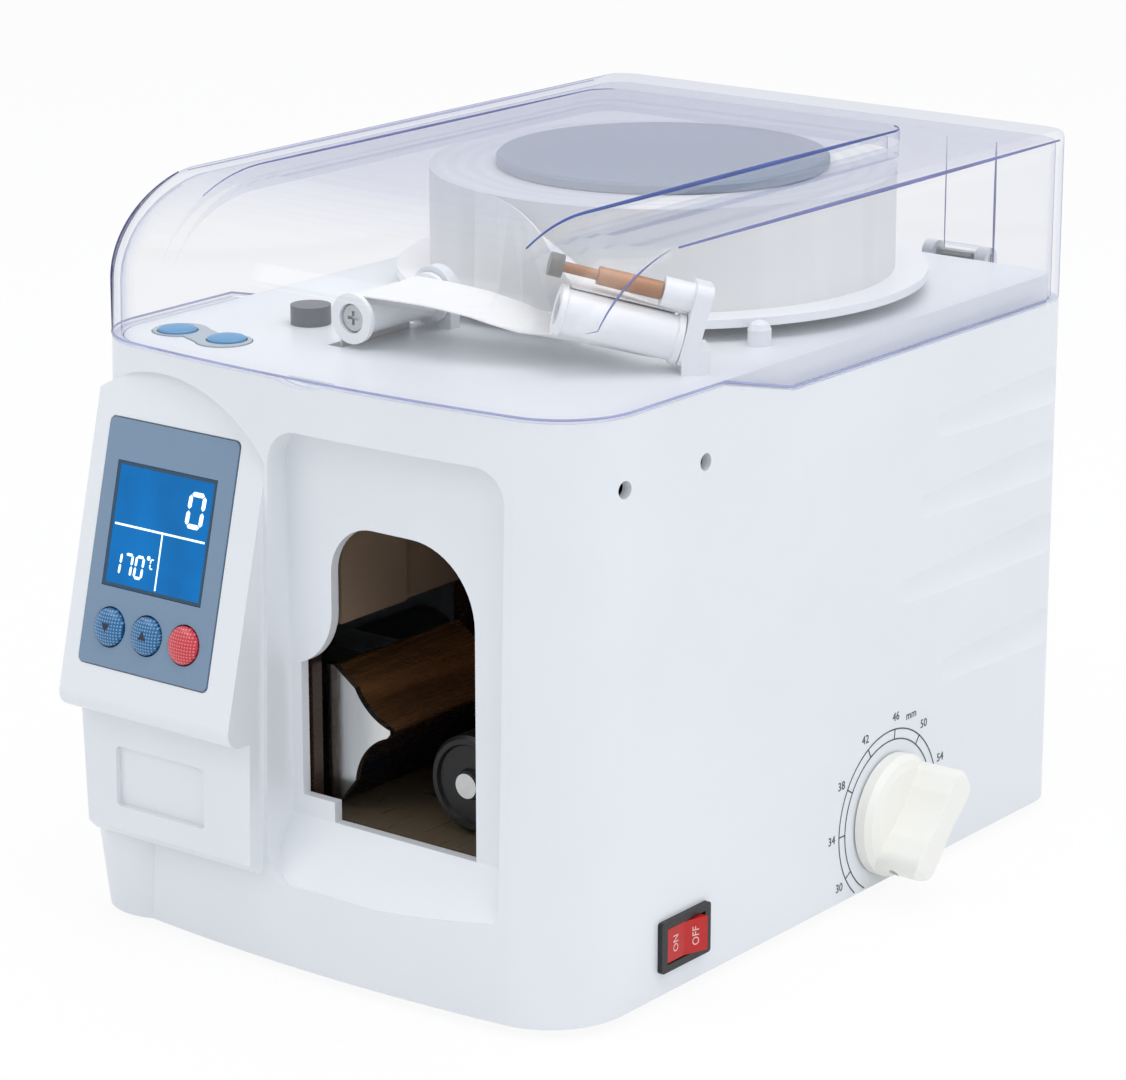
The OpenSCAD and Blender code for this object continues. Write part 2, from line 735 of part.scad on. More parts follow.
module deck_key(x) {
    translate([x, key_y, 0]) rotate_extrude()
        polygon([[0, deck_z - 3.4], [key_r, deck_z - 3.4], [key_r, deck_z + 0.7],
                 [key_r - 0.5, deck_z + 1.1], [key_r - 2, deck_z + 1.5], [key_r - 4, deck_z + 1.7],
                 [0, deck_z + 1.75]]);
}

module deck_key_left() place() color([0.30, 0.58, 0.80]) deck_key(key_xs[0]);

module deck_key_right() place() color([0.30, 0.58, 0.80]) deck_key(key_xs[1]);

module deck_thumbscrew() place() color([0.42, 0.43, 0.47]) {
    rod_z(thumb_x, thumb_y, deck_z, deck_z + 5.6, 5.9);
    rod_z(thumb_x, thumb_y, seam_rear_z - 8, deck_z + fine, 2);
}

module control_panel() place() color([0.50, 0.56, 0.66]) difference() {
    on_plate(0, 0, -plate_t) linear_extrude(plate_t + 0.3) rounded(0, 0, plate_w, plate_h, 2);
    on_plate(window_off_x, window_off_z, -2) cube([window_w, window_h, 4]);
    for (i = [0:2])
        on_plate(plate_w / 2 + (i - 1) * button_step, button_row, -4)
            cylinder(r = button_d / 2 + fit, h = 9);
}

module display_window() place() color([0.10, 0.45, 0.75])
    on_plate(window_off_x + 0.2, window_off_z + 0.2, -plate_t - 1.8)
        cube([window_w - 0.4, window_h - 0.4, plate_t + 1.9]);

module display_board() place() color([0.10, 0.40, 0.22])
    on_plate(2, 2.5, -plate_t - wall - 2.4) difference() {
        cube([plate_w - 4, plate_h - 11, 1.6]);
        for (u = [3, plate_w - 7], v = [19, plate_h - 14])
            translate([u, v, -1]) cylinder(r = 1.3, h = 4);
    }

// Half of a domed cap's outline, from its rim to its middle
function dome(r, z, rise) = concat([[r, 0]], [for (a = [0:15:75]) [r * cos(a), z + rise * sin(a)]],
                                   [[0, z + rise]]);

module button(i) {
    on_plate(plate_w / 2 + (i - 1) * button_step, button_row, -plate_t - wall + 0.9)
        rotate_extrude()
            polygon(concat([[0, 0]], dome(button_d / 2, plate_t + wall - 1.9 + button_proud, 1.7)));
}

module button_down() place() color([0.08, 0.38, 0.68]) button(0);

module button_up() place() color([0.08, 0.38, 0.68]) button(1);

module button_clear() place() color([0.85, 0.20, 0.22]) button(2);

// Plan of the cover from its left side round the bowed front to its right side
function cover_plan(inset) =
    let (side = front_corner_r - inset, arc = front_arc_r - inset,
         turn = asin(corner_x / (front_arc_r - front_corner_r)))
    concat([[-half_w - 6, rear_y + 40]],
           [for (i = [0:12]) let (a = 181 + (89 - turn) * i / 12)
               [-corner_x + side * cos(a), corner_y + side * sin(a)]],
           [for (i = [1:11]) let (a = 270 - turn + turn * i / 6) [arc * cos(a), arc_y + arc * sin(a)]],
           [for (i = [0:12]) let (a = 270 + turn + (89 - turn) * i / 12)
               [corner_x + side * cos(a), corner_y + side * sin(a)]],
           [[half_w + 6, rear_y + 40]]);

// Heights with how far the cover's front lies back at each, rolling over into the top
function roll_steps(top, rise, depth, back) =
    concat([[seam_rear_z - 12, back], [top - rise, back]],
           [for (a = [9:9:90]) [top - rise + rise * sin(a), back + depth * (1 - cos(a))]]);

module rolled_front(inset, top, rise, depth, back) {
    plan = cover_plan(inset);
    steps = roll_steps(top, rise, depth, back);
    m = len(plan);
    n = len(steps);
    polyhedron(
        points = [for (s = steps, p = plan) [p[0], p[1] + s[1] + tan(front_lean) * s[0], s[0]]],
        faces = concat([[for (i = [0:m - 1]) i]], [[for (i = [m - 1:-1:0]) (n - 1) * m + i]],
                       [for (k = [0:n - 2], i = [0:m - 1])
                           [k * m + i, (k + 1) * m + i, (k + 1) * m + (i + 1) % m, k * m + (i + 1) % m]]));
}

// Outer or inner form of the cover: shoulders and the raised middle panel
module cover_form(inset) {
    shoulder_z = cover_top_z - inset;
    top_z = cover_top_z + panel_rise - inset;
    intersection() {
        rolled_front(inset, shoulder_z + 0.05, roll_rise - inset, roll_depth - inset, 0);
        linear_extrude(shoulder_z + 5) plan_rear(inset);
        along_y(2 * front_y, 2 * rear_y)
            rounded(inset - half_w, 0, half_w - inset, shoulder_z, 6 - inset);
    }
    intersection() {
        rolled_front(inset, top_z + 0.05, roll_rise + panel_rise - inset, roll_depth + panel_rise - inset,
                     panel_back);
        linear_extrude(top_z)
            rounded(inset - panel_w / 2, 2 * front_y, panel_w / 2 - inset, panel_end_y - inset, 10);
    }
}

module cover() place() color([0.82, 0.84, 0.93, 0.35]) difference() {
    union() {
        intersection() {
            difference() {
                cover_form(0);
                cover_form(cover_wall);
            }
            above_seam(cover_gap);
        }
        for (s = [-1, 1]) along_x(s * hinge_x - knuckle_w / 2, s * hinge_x + knuckle_w / 2) {
            translate([hinge_y, hinge_z]) circle(r = knuckle_r);
            translate([rear_y - 1, hinge_z - 1]) square([hinge_y - rear_y + 1, knuckle_r + 1]);
        }
    }
    for (s = [-1, 1])
        rod_x(hinge_y, hinge_z, s * hinge_x - knuckle_w, s * hinge_x + knuckle_w, pin_r + run_fit);
}

module hinge_pins() place() color(steel)
    for (s = [-1, 1])
        rod_x(hinge_y, hinge_z, s * hinge_x - knuckle_w / 2 - 4.6, s * hinge_x + knuckle_w / 2 + 4.6,
              pin_r);

module reel_spindle() place() color(steel) {
    rod_z(reel_x, reel_y, seam_rear_z - 5, roll_z + tape_w - 2, spindle_r);
}

module reel_tray() place() color(white) difference() {
    union() {
        rod_z(reel_x, reel_y, tray_z, roll_z, tray_r);
        rod_z(reel_x, reel_y, deck_z + 1.5 + seat_gap, roll_z + tape_w, hub_r);
    }
    rod_z(reel_x, reel_y, deck_z, roll_z + tape_w + 1, spindle_r + run_fit);
}

module tape_roll() place() color([0.96, 0.96, 0.94]) difference() {
    rod_z(reel_x, reel_y, roll_z, roll_z + tape_w, roll_r);
    rod_z(reel_x, reel_y, roll_z - 1, roll_z + tape_w + 1, hub_r + 0.2);
}

module reel_cap() place() color([0.56, 0.62, 0.68])
    translate([reel_x, reel_y, roll_z + tape_w]) rotate_extrude()
        polygon([[0, 0], [reel_cap_r - 0.6, 0], [reel_cap_r, 0.6], [reel_cap_r, cap_t - 0.8],
                 [reel_cap_r - 0.8, cap_t], [0, cap_t]]);

// A flanged sleeve standing on z = 0, with a screw pocket in its far end
module sleeve(length, body_r, rim_r, bore_r, pocket_r) {
    rim = 1.6;
    rotate_extrude() polygon([[bore_r, 0], [rim_r, 0], [rim_r, rim], [body_r, rim + 0.5],
                              [body_r, length - rim - 0.5], [rim_r, length - rim], [rim_r, length],
                              [pocket_r, length], [pocket_r, length - 3], [bore_r, length - 3]]);
}

module left_roller() place() color(white)
    translate([roller_x, roller_y0 + roller_l, roller_z]) rotate([90, 0, 0])
        sleeve(roller_l, roller_r, flange_r, stud_r + run_fit, 4.3);

// Places children on the right guide's own axis, running from its foot to its free end
module on_guide(up = 0, along = 0) {
    translate(guide_base) rotate([0, 0, guide_turn + 180]) rotate([0, 90 - guide_rise, 0])
        translate([-up, 0, along]) children();
}

module roller_bracket() place() color(white) difference() {
    union() {
        on_guide(0, -5) linear_extrude(5 - seat_gap)
            rounded(-guide_pin_up - 5, -6.4, 6.4, 6.4, 3);
        on_guide(guide_pin_up, -1) cylinder(r = 4.2, h = 9.2);
        translate([guide_base[0] + 2.2, guide_base[1] + 2, 0]) rotate([0, 0, guide_turn])
            box(-3, -6.4, deck_z, 5, 6.4, deck_z + 7);
    }
    on_guide(0, -4) cylinder(r = stud_r + 0.02, h = 12);
    on_guide(guide_pin_up, -4) cylinder(r = 1.52, h = 20);
    box(0, front_y, deck_z - 20, half_w, rear_y, deck_z);
}

module right_roller() place() color(white)
    on_guide(0, 0) sleeve(roller_l, guide_body_r, flange_r, stud_r + run_fit, 4.3);

module roller_studs() place() color(steel) {
    translate([roller_x, roller_y0, roller_z]) rotate([-90, 0, 0]) difference() {
        union() {
            translate([0, 0, 1]) cylinder(r = 3.7, h = 3 - 1 - seat_gap);
            translate([0, 0, 2]) cylinder(r = stud_r, h = roller_l + 2.6);
        }
        for (a = [0, 90]) rotate(a) translate([-0.45, -2, 0]) cube([0.9, 4, 2]);
    }
    on_guide(0, 0) {
        translate([0, 0, -4]) cylinder(r = stud_r, h = roller_l + 3);
        translate([0, 0, roller_l - 3 + seat_gap]) cylinder(r = 3.7, h = 1.7);
    }
}

module guide_pin() place() color([0.75, 0.55, 0.38])
    on_guide(guide_pin_up, -4) cylinder(r = 1.5, h = 42);

module guide_bush() place() color([0.80, 0.62, 0.45])
    on_guide(guide_pin_up, 8.5) difference() {
        cylinder(r = 2.6, h = 18);
        translate([0, 0, -1]) cylinder(r = 1.55, h = 20);
    }

module guide_cap() place() color([0.48, 0.48, 0.47])
    on_guide(guide_pin_up, 36.5) difference() {
        cylinder(r = 3.3, h = 3.8);
        translate([0, 0, -1]) cylinder(r = 1.52, h = 3);
    }

// The tape lead: stations along its middle, each with the direction of its width

function unit(v) = v / norm(v);
function spline(a, b, c, d, t) =
    0.5 * (2 * b + (c - a) * t + (2 * a - 5 * b + 4 * c - d) * t * t
           + (3 * b - a - 3 * c + d) * t * t * t);
function lead_at(i, t, k) =
    let (n = len(LEAD) - 1)
    spline(LEAD[max(i - 1, 0)][k], LEAD[i][k], LEAD[min(i + 1, n)][k], LEAD[min(i + 2, n)][k], t);

module tape_lead() place() color([0.97, 0.97, 0.95]) {
    rings = [for (i = [0:len(LEAD) - 2], s = [0:lead_steps - 1])
                 [lead_at(i, s / lead_steps, 0), unit(lead_at(i, s / lead_steps, 1))]];
    count = len(rings);
    along = [for (i = [0:count - 1])
                 unit(rings[min(i + 1, count - 1)][0] - rings[max(i - 1, 0)][0])];
    points = [for (i = [0:count - 1])
                  let (w = rings[i][1] * tape_w / 2, t = unit(cross(along[i], rings[i][1])) * tape_t / 2)
                  for (corner = [w + t, w - t, -w - t, -w + t]) rings[i][0] + corner];
    sides = [for (i = [0:count - 2], k = [0:3])
                 let (a = 4 * i + k, b = 4 * i + (k + 1) % 4)
                 for (f = [[a, b, b + 4], [a, b + 4, a + 4]]) f];
    last = 4 * (count - 1);
    polyhedron(points, concat(sides, [[0, 3, 2], [0, 2, 1], [last, last + 1, last + 2],
                                      [last, last + 2, last + 3]]), 4);
}

module switch_frame() place() color(dark) difference() {
    union() {
        along_x(half_w, half_w + 1.6)
            rounded(switch_y - switch_l / 2, switch_z - switch_h / 2,
                    switch_y + switch_l / 2, switch_z + switch_h / 2, 1);
        box(half_w - 14, switch_y - switch_l / 2 + 1.5 + fit / 2, switch_z - switch_h / 2 + 1.5 + fit / 2,
            half_w + fine, switch_y + switch_l / 2 - 1.5 - fit / 2, switch_z + switch_h / 2 - 1.5 - fit / 2);
        for (z = [-3, 3]) box(half_w - 19, switch_y - 2.4, switch_z + z - 0.4,
                              half_w - 13, switch_y + 2.4, switch_z + z + 0.4);
    }
    box(half_w - 9, switch_y - switch_l / 2 + 2.6, switch_z - rocker_w / 2 - 0.3,
        half_w + 2, switch_y + switch_l / 2 - 2.6, switch_z + rocker_w / 2 + 0.3);
}

module switch_rocker() place() color([0.75, 0.13, 0.11])
    translate([rocker_pivot_x, switch_y, 0]) rotate([0, 0, -rocker_tilt])
        translate([0, 0, switch_z - rocker_w / 2]) linear_extrude(rocker_w)
            difference() {
                union() {
                    polygon([[-1.5, -3.4], [1.2, -7.4], [5.6, -7.9], [4.3, 0], [5.6, 7.9], [1.2, 7.4],
                             [-1.5, 3.4]]);
                    circle(r = 3.6);
                }
                circle(r = 0.8);
            }

// Grip of the knob: a waisted bar with round ends, standing on the flange
module knob_grip() {
    grip_l = knob_r - 0.4;
    intersection() {
        linear_extrude(knob_h - knob_gap) difference() {
            union() {
                for (s = [-1, 1]) translate([0, s * (grip_l - 5)]) circle(r = 5);
                translate([-5, -grip_l + 5]) square([10, 2 * grip_l - 10]);
            }
            for (s = [-1, 1]) translate([s * 44.2, 0]) circle(r = 40, $fn = 96);
        }
        rotate_extrude($fn = 96)
            polygon([[0, 3], [knob_r, 3], [knob_r, knob_h - knob_gap - 3.4],
                     [knob_r - 0.6, knob_h - knob_gap - 1.6], [knob_r - 2.2, knob_h - knob_gap - 0.3],
                     [knob_r - 4.2, knob_h - knob_gap], [0, knob_h - knob_gap]]);
    }
}

module position_knob() place() color(warm_white)
    translate([half_w + knob_gap, knob_y, knob_z]) rotate([0, 90, 0]) difference() {
        union() {
            rotate_extrude($fn = 96)
                polygon([[0, 0], [knob_r, 0], [knob_r, 3.2], [knob_r - 1.4, 5], [knob_r - 4, 5.8], [0, 6.4]]);
            rotate(pointer_angle - 180) knob_grip();
        }
        translate([0, 0, -1]) cylinder(r = shaft_r + 0.02, h = 12);
        // pointer hole in the end of the grip
        rotate(pointer_angle - 180) translate([0, -knob_r + 8, 10]) rotate([90, 0, 0])
            cylinder(r = 1.6, h = knob_r);
    }

module knob_shaft() place() color(steel)
    translate([0, knob_y, knob_z]) rotate([0, 90, 0]) {
        translate([0, 0, pinion_x - 6]) cylinder(r = shaft_r, h = half_w + 11 - pinion_x + 6);
        translate([0, 0, pinion_x - 3]) rotate(180) linear_extrude(6) gear_outline(rack_teeth, rack_m);
    }

module knob_bush() place() color([0.80, 0.62, 0.30])
    translate([0, knob_y, knob_z]) rotate([0, 90, 0]) difference() {
        union() {
            translate([0, 0, half_w - wall - 4]) cylinder(r = shaft_r + 2, h = wall + 4);
            translate([0, 0, half_w - wall - 2.5 - 0.02]) cylinder(r = shaft_r + 4.4, h = 2.5);
        }
        translate([0, 0, half_w - wall - 5]) cylinder(r = shaft_r + run_fit, h = 12);
    }

// Toothed bar under the frames, driven by the knob
module stop_rack() place() color(gear_white) {
    along_x(pinion_x - 3, pinion_x + 3)
        translate([knob_y, knob_z + rack_pitch_r]) mirror([0, 1])
            rack_outline(rack_behind, 12, rack_m, rack_back);
    box(pinion_x - 3, stop_y + 1.5, knob_z + rack_pitch_r + 1.2 * rack_m,
        pinion_x + 3, knob_y - rack_behind + fine, knob_z + rack_pitch_r + rack_back);
}

module stop_plate() place() color(tan_steel) {
    along_y(stop_y, stop_y + 1.5)
        rounded(throat_x0 - 7, throat_z0 + 2, throat_x1 - 1, throat_z1 - 6, 5);
    box(throat_x1 - 16, stop_y + 1.5 - fine, throat_z0 + 4, throat_x1 - 4, stop_y + 3, throat_z0 + 12);
    box(throat_x1 - 16, stop_y, stop_arm_z, throat_x1 - 4, stop_y + 1.5, throat_z0 + 3);
    box(throat_x1 - 16, stop_y, stop_arm_z, pinion_x + 3, stop_y + 1.5, stop_arm_z + 4);
}

window_y0 = frame_y0 + 4;
window_y1 = strap_y + 20;
frame_step_y = window_y1 + 16;
window_z0 = throat_z0;
window_z1 = throat_z0 + 72;

// Side plate on the jaw's side: low in front below the feed rollers, high at the rear
module left_frame() place() color(steel) difference() {
    union() {
        along_x(left_frame_x, left_frame_x + frame_t)
            polygon([[frame_y0, plate_top_z], [frame_y0, low_frame_z], [frame_step_y, low_frame_z],
                     [frame_step_y, deck_under_z], [frame_y1, deck_under_z], [frame_y1, plate_top_z]]);
        box(left_frame_x - 12, frame_y0, plate_top_z, left_frame_x + fine, frame_y1, plate_top_z + 2);
        box(left_frame_x - 12, frame_step_y, deck_under_z - 2, left_frame_x + fine, frame_y1, deck_under_z);
    }
    box(left_frame_x - 1, window_y0, window_z0, left_frame_x + frame_t + 1, window_y1, window_z1);
    for (y = [frame_y0 + 8, 0, frame_y1 - 8])
        rod_z(left_frame_x - 6, y, plate_top_z - 1, plate_top_z + 3, 1.7);
    for (y = spacer_ys) rod_x(y, spacer_zs[0], left_frame_x - 1, left_frame_x + 3, 1.7);
    box(left_frame_x - 14, reel_y - 12, deck_under_z - 3, left_frame_x + 3, reel_y + 12, deck_under_z + 1);
}

module right_frame() place() color(steel) difference() {
    union() {
        box(right_frame_x, frame_y0, plate_top_z, right_frame_x + frame_t, frame_y1, deck_under_z);
        box(right_frame_x, frame_y0, plate_top_z, right_frame_x + 12, frame_y1, plate_top_z + 2);
        box(right_frame_x, frame_y0, deck_under_z - 2, right_frame_x + 12, frame_y1, deck_under_z);
    }
    // way for the arm of the note stop
    box(right_frame_x - 1, stop_y - 3, stop_arm_z - 2, right_frame_x + 3, stop_y + stop_travel + 6,
        stop_arm_z + 7);
    for (y = [frame_y0 + 8, 0, frame_y1 - 8])
        rod_z(right_frame_x + 7, y, plate_top_z - 1, plate_top_z + 3, 1.7);
    for (y = spacer_ys) rod_x(y, spacer_zs[0], right_frame_x - 1, right_frame_x + 3, 1.7);
    box(right_frame_x - 1, 30, 70, right_frame_x + 3, frame_y1 - 10, 130);
}

// Black wheel that the notes are pressed against, on a stud from its bracket
anvil_x = throat_x1 - 14;
anvil_z = throat_z0 + 15.3;
anvil_r = 14;
anvil_y0 = frame_y0 + 10.3;
anvil_y1 = anvil_y0 + 12;

module anvil_wheel() place() color(rubber_black) difference() {
    translate([anvil_x, anvil_y0, anvil_z]) rotate([-90, 0, 0]) rotate_extrude($fn = 96)
        polygon([[0, 0], [4, 0], [4.6, 1], [anvil_r - 3, 1], [anvil_r - 2.4, 0], [anvil_r - 1, 0],
                 [anvil_r, 1], [anvil_r, 11], [anvil_r - 1, 12], [0, 12]]);
    rod_y(anvil_x, anvil_z, anvil_y0 - 1, anvil_y1 + 1, 2.5 + run_fit);
}

// Spacers between the side plates, and the wheel's stud with its bracket
module frame_fittings() place() color(steel) {
    for (y = spacer_ys)
        rod_x(y, spacer_zs[0], left_frame_x + frame_t, right_frame_x, 4);
    rod_y(anvil_x, anvil_z, anvil_y0 - 1.5, anvil_y0 - 0.2, 3.6);
    rod_y(anvil_x, anvil_z, anvil_y0 - 0.2 - fine, anvil_y1 + 1.5, 2.5);
    box(anvil_x - 8, anvil_y1 + 0.5, throat_z0, throat_x1 - 1, anvil_y1 + 2.5, anvil_z + 7);
    box(anvil_x - 8, anvil_y1 + 0.5, throat_z0, throat_x1 - 1, strap_y - tape_w / 2 - 1.5, throat_z0 + 1.5);
}

// Floor of the note channel, slotted for the strap and for the note stop
module throat_floor() place() color([0.75, 0.68, 0.52]) difference() {
    union() {
        box(left_frame_x + frame_t, frame_y0, throat_z0 - 2, right_frame_x, frame_y1 - 40, throat_z0);
        for (x = [left_frame_x + frame_t, right_frame_x - 1.5])
            box(x, frame_y0, throat_z0 - 10, x + 1.5, frame_y1 - 40, throat_z0 - 1);
    }
    box(throat_x0 + 4, strap_y - tape_w / 2 - 0.5, throat_z0 - 3, throat_x1 - 4,
        strap_y + tape_w / 2 + 0.5, throat_z0 + 1);
    box(throat_x1 - 18, stop_y - 4, throat_z0 - 3, throat_x1 - 2, stop_y + stop_travel + 6, throat_z0 + 1);
    box(throat_x1 - 18, stop_y - 4, throat_z0 - 12, right_frame_x + 1, stop_y + stop_travel + 6,
        throat_z0 - 3);
}

// Channel that leads the strap over the notes, from the jaw's top round to the floor
module strap_guide() place() color([0.33, 0.22, 0.16]) {
    difference() {
        along_y(frame_y0 + 1.5, strap_y + 17) difference() {
            throat_outline(4);
            throat_outline(1);
            translate([left_frame_x, 0]) square([throat_x0 + 12 - left_frame_x, notch_z1 + 12]);
            translate([left_frame_x, 0]) square([2 * throat_w, throat_z0]);
        }
        along_y(strap_y - tape_w / 2 - 0.5, strap_y + tape_w / 2 + 0.5) throat_outline(2.4);
    }
    // lower run, under the floor
    difference() {
        box(throat_x0 + 2, strap_y - 17, throat_z0 - 5, right_frame_x - 1.5, strap_y + 17, throat_z0 - 2);
        box(throat_x0 + 1, strap_y - tape_w / 2 - 0.5, throat_z0 - 3.5, throat_x1 - 4,
            strap_y + tape_w / 2 + 0.5, throat_z0 - 1);
    }
}

// Fish-tail side view of the press: two tails, hollow flanks and a blunt point
module fishtail(inset) {
    difference() {
        polygon([[jaw_back_x + inset, throat_z0 + 1 + inset], [jaw_back_x + 3, throat_z0 + 1 + inset],
                 [jaw_point_x - inset, press_z - 1], [jaw_point_x - inset, press_z + 1],
                 [jaw_back_x + 2.4, throat_z0 + 42.4 - inset], [jaw_back_x + inset, throat_z0 + 42.4 - inset]]);
        translate([jaw_point_x + 4.5, throat_z0 + 46]) circle(r = 19.5 + inset, $fn = 96);
        translate([jaw_point_x + 4.5, throat_z0 + 8]) circle(r = 17.5 + inset, $fn = 96);
    }
}

module press_jaw() place() color([0.80, 0.81, 0.83])
    along_y(jaw_y, jaw_y + 2) fishtail(0);

module press_bar() place() color([0.42, 0.30, 0.20]) {
    along_y(jaw_y + 2, strap_y + 17) fishtail(0.8);
    box(press_rack_x1, strap_y - 3.6, press_z - 4, jaw_back_x + 1.5, strap_y + 3.6, press_z + 4);
}

press_rack_x1 = left_frame_x - 2;
press_rack_x0 = press_drive_x - press_travel - 11;

module press_rack() place() color(gear_white) {
    along_y(strap_y - 3.6, strap_y + 3.6)
        translate([press_drive_x, press_z - 3]) mirror([0, 1])
            rack_outline(press_drive_x - press_rack_x0, 10, gear_m, 7);
    box(press_drive_x + 10 - fine, strap_y - 3.6, press_z - 2, press_rack_x1, strap_y + 3.6, press_z + 4);
}

// Pair of cheeks that carry the rack and the pinion
module press_guide() place() color(steel) difference() {
    union() {
        for (y = [strap_y - 7.9, strap_y + 3.9])
            box(press_rack_x0 + 6, y, plate_top_z, press_rack_x1 - 1, y + 4, press_z + 8);
        box(press_rack_x0 + 6, strap_y - 7.9, press_z + 4.3, press_rack_x1 - 1, strap_y + 7.9, press_z + 8);
        box(press_rack_x0 + 6, strap_y - 14, plate_top_z, press_rack_x1 - 14, strap_y + 14, plate_top_z + 2);
        box(press_rack_x1 - 3, strap_y - 7.9, plate_top_z, press_rack_x1 + 2, strap_y - 3.9, throat_z0 - 4);
    }
    rod_y(press_drive_x, press_axis_z, strap_y - 10, strap_y + 10, 2 + run_fit);
    box(left_frame_x - 12.4, strap_y - 20, plate_top_z - 1, left_frame_x + 1, strap_y + 20, plate_top_z + 2.3);
}

module press_pinion() place() color(steel) {
    rod_y(press_drive_x, press_axis_z, strap_y - 7, strap_y + 8.5, 2);
    along_y(strap_y - 3.2, strap_y + 3.2) translate([press_drive_x, press_axis_z]) rotate(90)
        gear_outline(press_teeth, gear_m);
}

// Round motor with a shallow front boss, its shaft end socketed
module motor(x, z, y, r, length) {
    difference() {
        union() {
            rod_y(x, z, y, y + length, r);
            rod_y(x, z, y + length - fine, y + length + 2, r * 0.4);
            for (s = [-1, 1]) box(x + s * r * 0.5 - 1, y + length, z - 3, x + s * r * 0.5 + 1, y + length + 6, z + 3);
        }
        rod_y(x, z, y - 1, y + 8, 2 + run_fit);
    }
}

module press_motor() place() color([0.30, 0.31, 0.33])
    motor(press_drive_x, press_axis_z, strap_y + 8, 13.5, 40);

module geared_roller(x, turn) {
    rod_y(x, feed_z, feed_y0, feed_y0 + tape_w, feed_r);
    rod_y(x, feed_z, feed_y0 - 3.4, feed_gear_y + 4.4, stud_r);
    along_y(feed_gear_y, feed_gear_y + 4) translate([x, feed_z]) rotate(turn)
        gear_outline(feed_teeth, gear_m);
}

module feed_roller() place() color(rubber_black) geared_roller(feed_x, 0);

module pinch_roller() place() color([0.55, 0.56, 0.58]) geared_roller(pinch_x, 180 / feed_teeth);

module feed_pinion() place() color(steel) {
    rod_y(feed_motor_x, feed_z, feed_gear_y - 1, feed_motor_y + 6, 2);
    along_y(feed_gear_y, feed_gear_y + 4) translate([feed_motor_x, feed_z]) rotate(180 / pinion_teeth)
        gear_outline(pinion_teeth, gear_m);
}

module feed_motor() place() color([0.30, 0.31, 0.33])
    motor(feed_motor_x, feed_z, feed_motor_y, 11.5, 34);

// Channel with two cheeks for the rollers and a plate for the motor
module feed_bracket() place() color(steel) difference() {
    union() {
        box(feed_motor_x - 13, feed_y0 - 2.9, low_frame_z - 5, left_frame_x, feed_motor_y, low_frame_z - 3);
        for (y = [feed_y0 - 2.9, feed_y0 + tape_w + 0.9])
            box(feed_x - 8, y, low_frame_z - 5, left_frame_x, y + 2, feed_z + 6);
        box(feed_motor_x - 13, feed_motor_y - 2, low_frame_z - 5, feed_x + 2, feed_motor_y, feed_z + 10);
        box(left_frame_x - 2, feed_y0 - 2.9, low_frame_z - 24, left_frame_x, feed_motor_y, low_frame_z - 3);
    }
    for (x = [feed_x, pinch_x]) rod_y(x, feed_z, feed_y0 - 10, feed_gear_y - 1, stud_r + run_fit);
    rod_y(feed_motor_x, feed_z, feed_motor_y - 5, feed_motor_y + 2, 2 + run_fit);
    box(tape_x - 3, feed_y0 - 0.5, low_frame_z - 6, tape_x + 3, feed_y0 + tape_w + 0.5, low_frame_z - 2);
    box(left_frame_x - 3, feed_y0 + 3, low_frame_z - 25, left_frame_x + 1, feed_y0 + tape_w - 3,
        low_frame_z - 8);
}

module heater_block() place() color([0.62, 0.42, 0.22]) {
    box(seal_x - 9, feed_y0, seal_z - 5, seal_x, feed_y0 + tape_w, seal_z + 5);
    box(seal_x - 11, strap_y - 5, seal_z - 3, seal_x - 9 + fine, strap_y + 5, seal_z + 3);
    rod_x(strap_y, seal_z, seal_x - 38, seal_x - 11 + fine, 3);
}

module cutter_blade() place() color([0.80, 0.82, 0.85])
    along_y(feed_y0 + 0.5, feed_y0 + tape_w - 0.5)
        polygon([[seal_x - 9, seal_z - 6.2], [seal_x + 0.2, seal_z - 6.2], [seal_x + 1, seal_z - 5.6],
                 [seal_x + 0.2, seal_z - 5], [seal_x - 9, seal_z - 5]]);

// Solenoid frame with its coil and the cheek that guides the plunger
module seal_solenoid() place() color([0.55, 0.40, 0.18]) {
    difference() {
        union() {
            rod_x(strap_y, seal_z, seal_x - 44, seal_x - 20, 9);
            for (x = [seal_x - 46, seal_x - 20]) box(x, strap_y - 10, seal_z - 14, x + 2, strap_y + 10, seal_z + 10);
            box(seal_x - 46, strap_y - 24, seal_z - 14, seal_x - 18, strap_y + 10, seal_z - 12);
            box(seal_x - 44, strap_y - 24, plate_top_z, seal_x - 24, strap_y - 22, seal_z - 12);
            box(seal_x - 44, strap_y - 34, plate_top_z, seal_x - 24, strap_y - 22, plate_top_z + 2);
        }
        rod_x(strap_y, seal_z, seal_x - 40, seal_x, 3 + run_fit);
    }
}

module control_board() place() color([0.10, 0.38, 0.20]) difference() {
    union() {
        box(-82, 0, plate_top_z + 7, -32, 96, plate_top_z + 8.6);
        for (x = [-78, -36], y = [4, 90]) rod_z(x, y, plate_top_z, plate_top_z + 7 + fine, 3);
        for (c = [[-74, 12, 12, 30, 3], [-56, 16, 16, 16, 2], [-74, 56, 8, 8, 14], [-60, 56, 10, 10, 9],
                  [-46, 52, 8, 30, 8]])
            box(c[0], c[1], plate_top_z + 8.6 - fine, c[0] + c[2], c[1] + c[3], plate_top_z + 8.6 + c[4]);
    }
    for (x = [-78, -36], y = [4, 90]) rod_z(x, y, plate_top_z - 1, plate_top_z + 12, 1.5);
}

module transformer() place() color([0.38, 0.36, 0.34]) {
    box(14, 72, plate_top_z + 2, 52, 112, plate_top_z + 34);
    box(8, 66, plate_top_z, 53, 118, plate_top_z + 2 + fine);
    box(18, 66, plate_top_z + 8, 48, 72 + fine, plate_top_z + 28);
    box(18, 112 - fine, plate_top_z + 8, 48, 118, plate_top_z + 28);
}

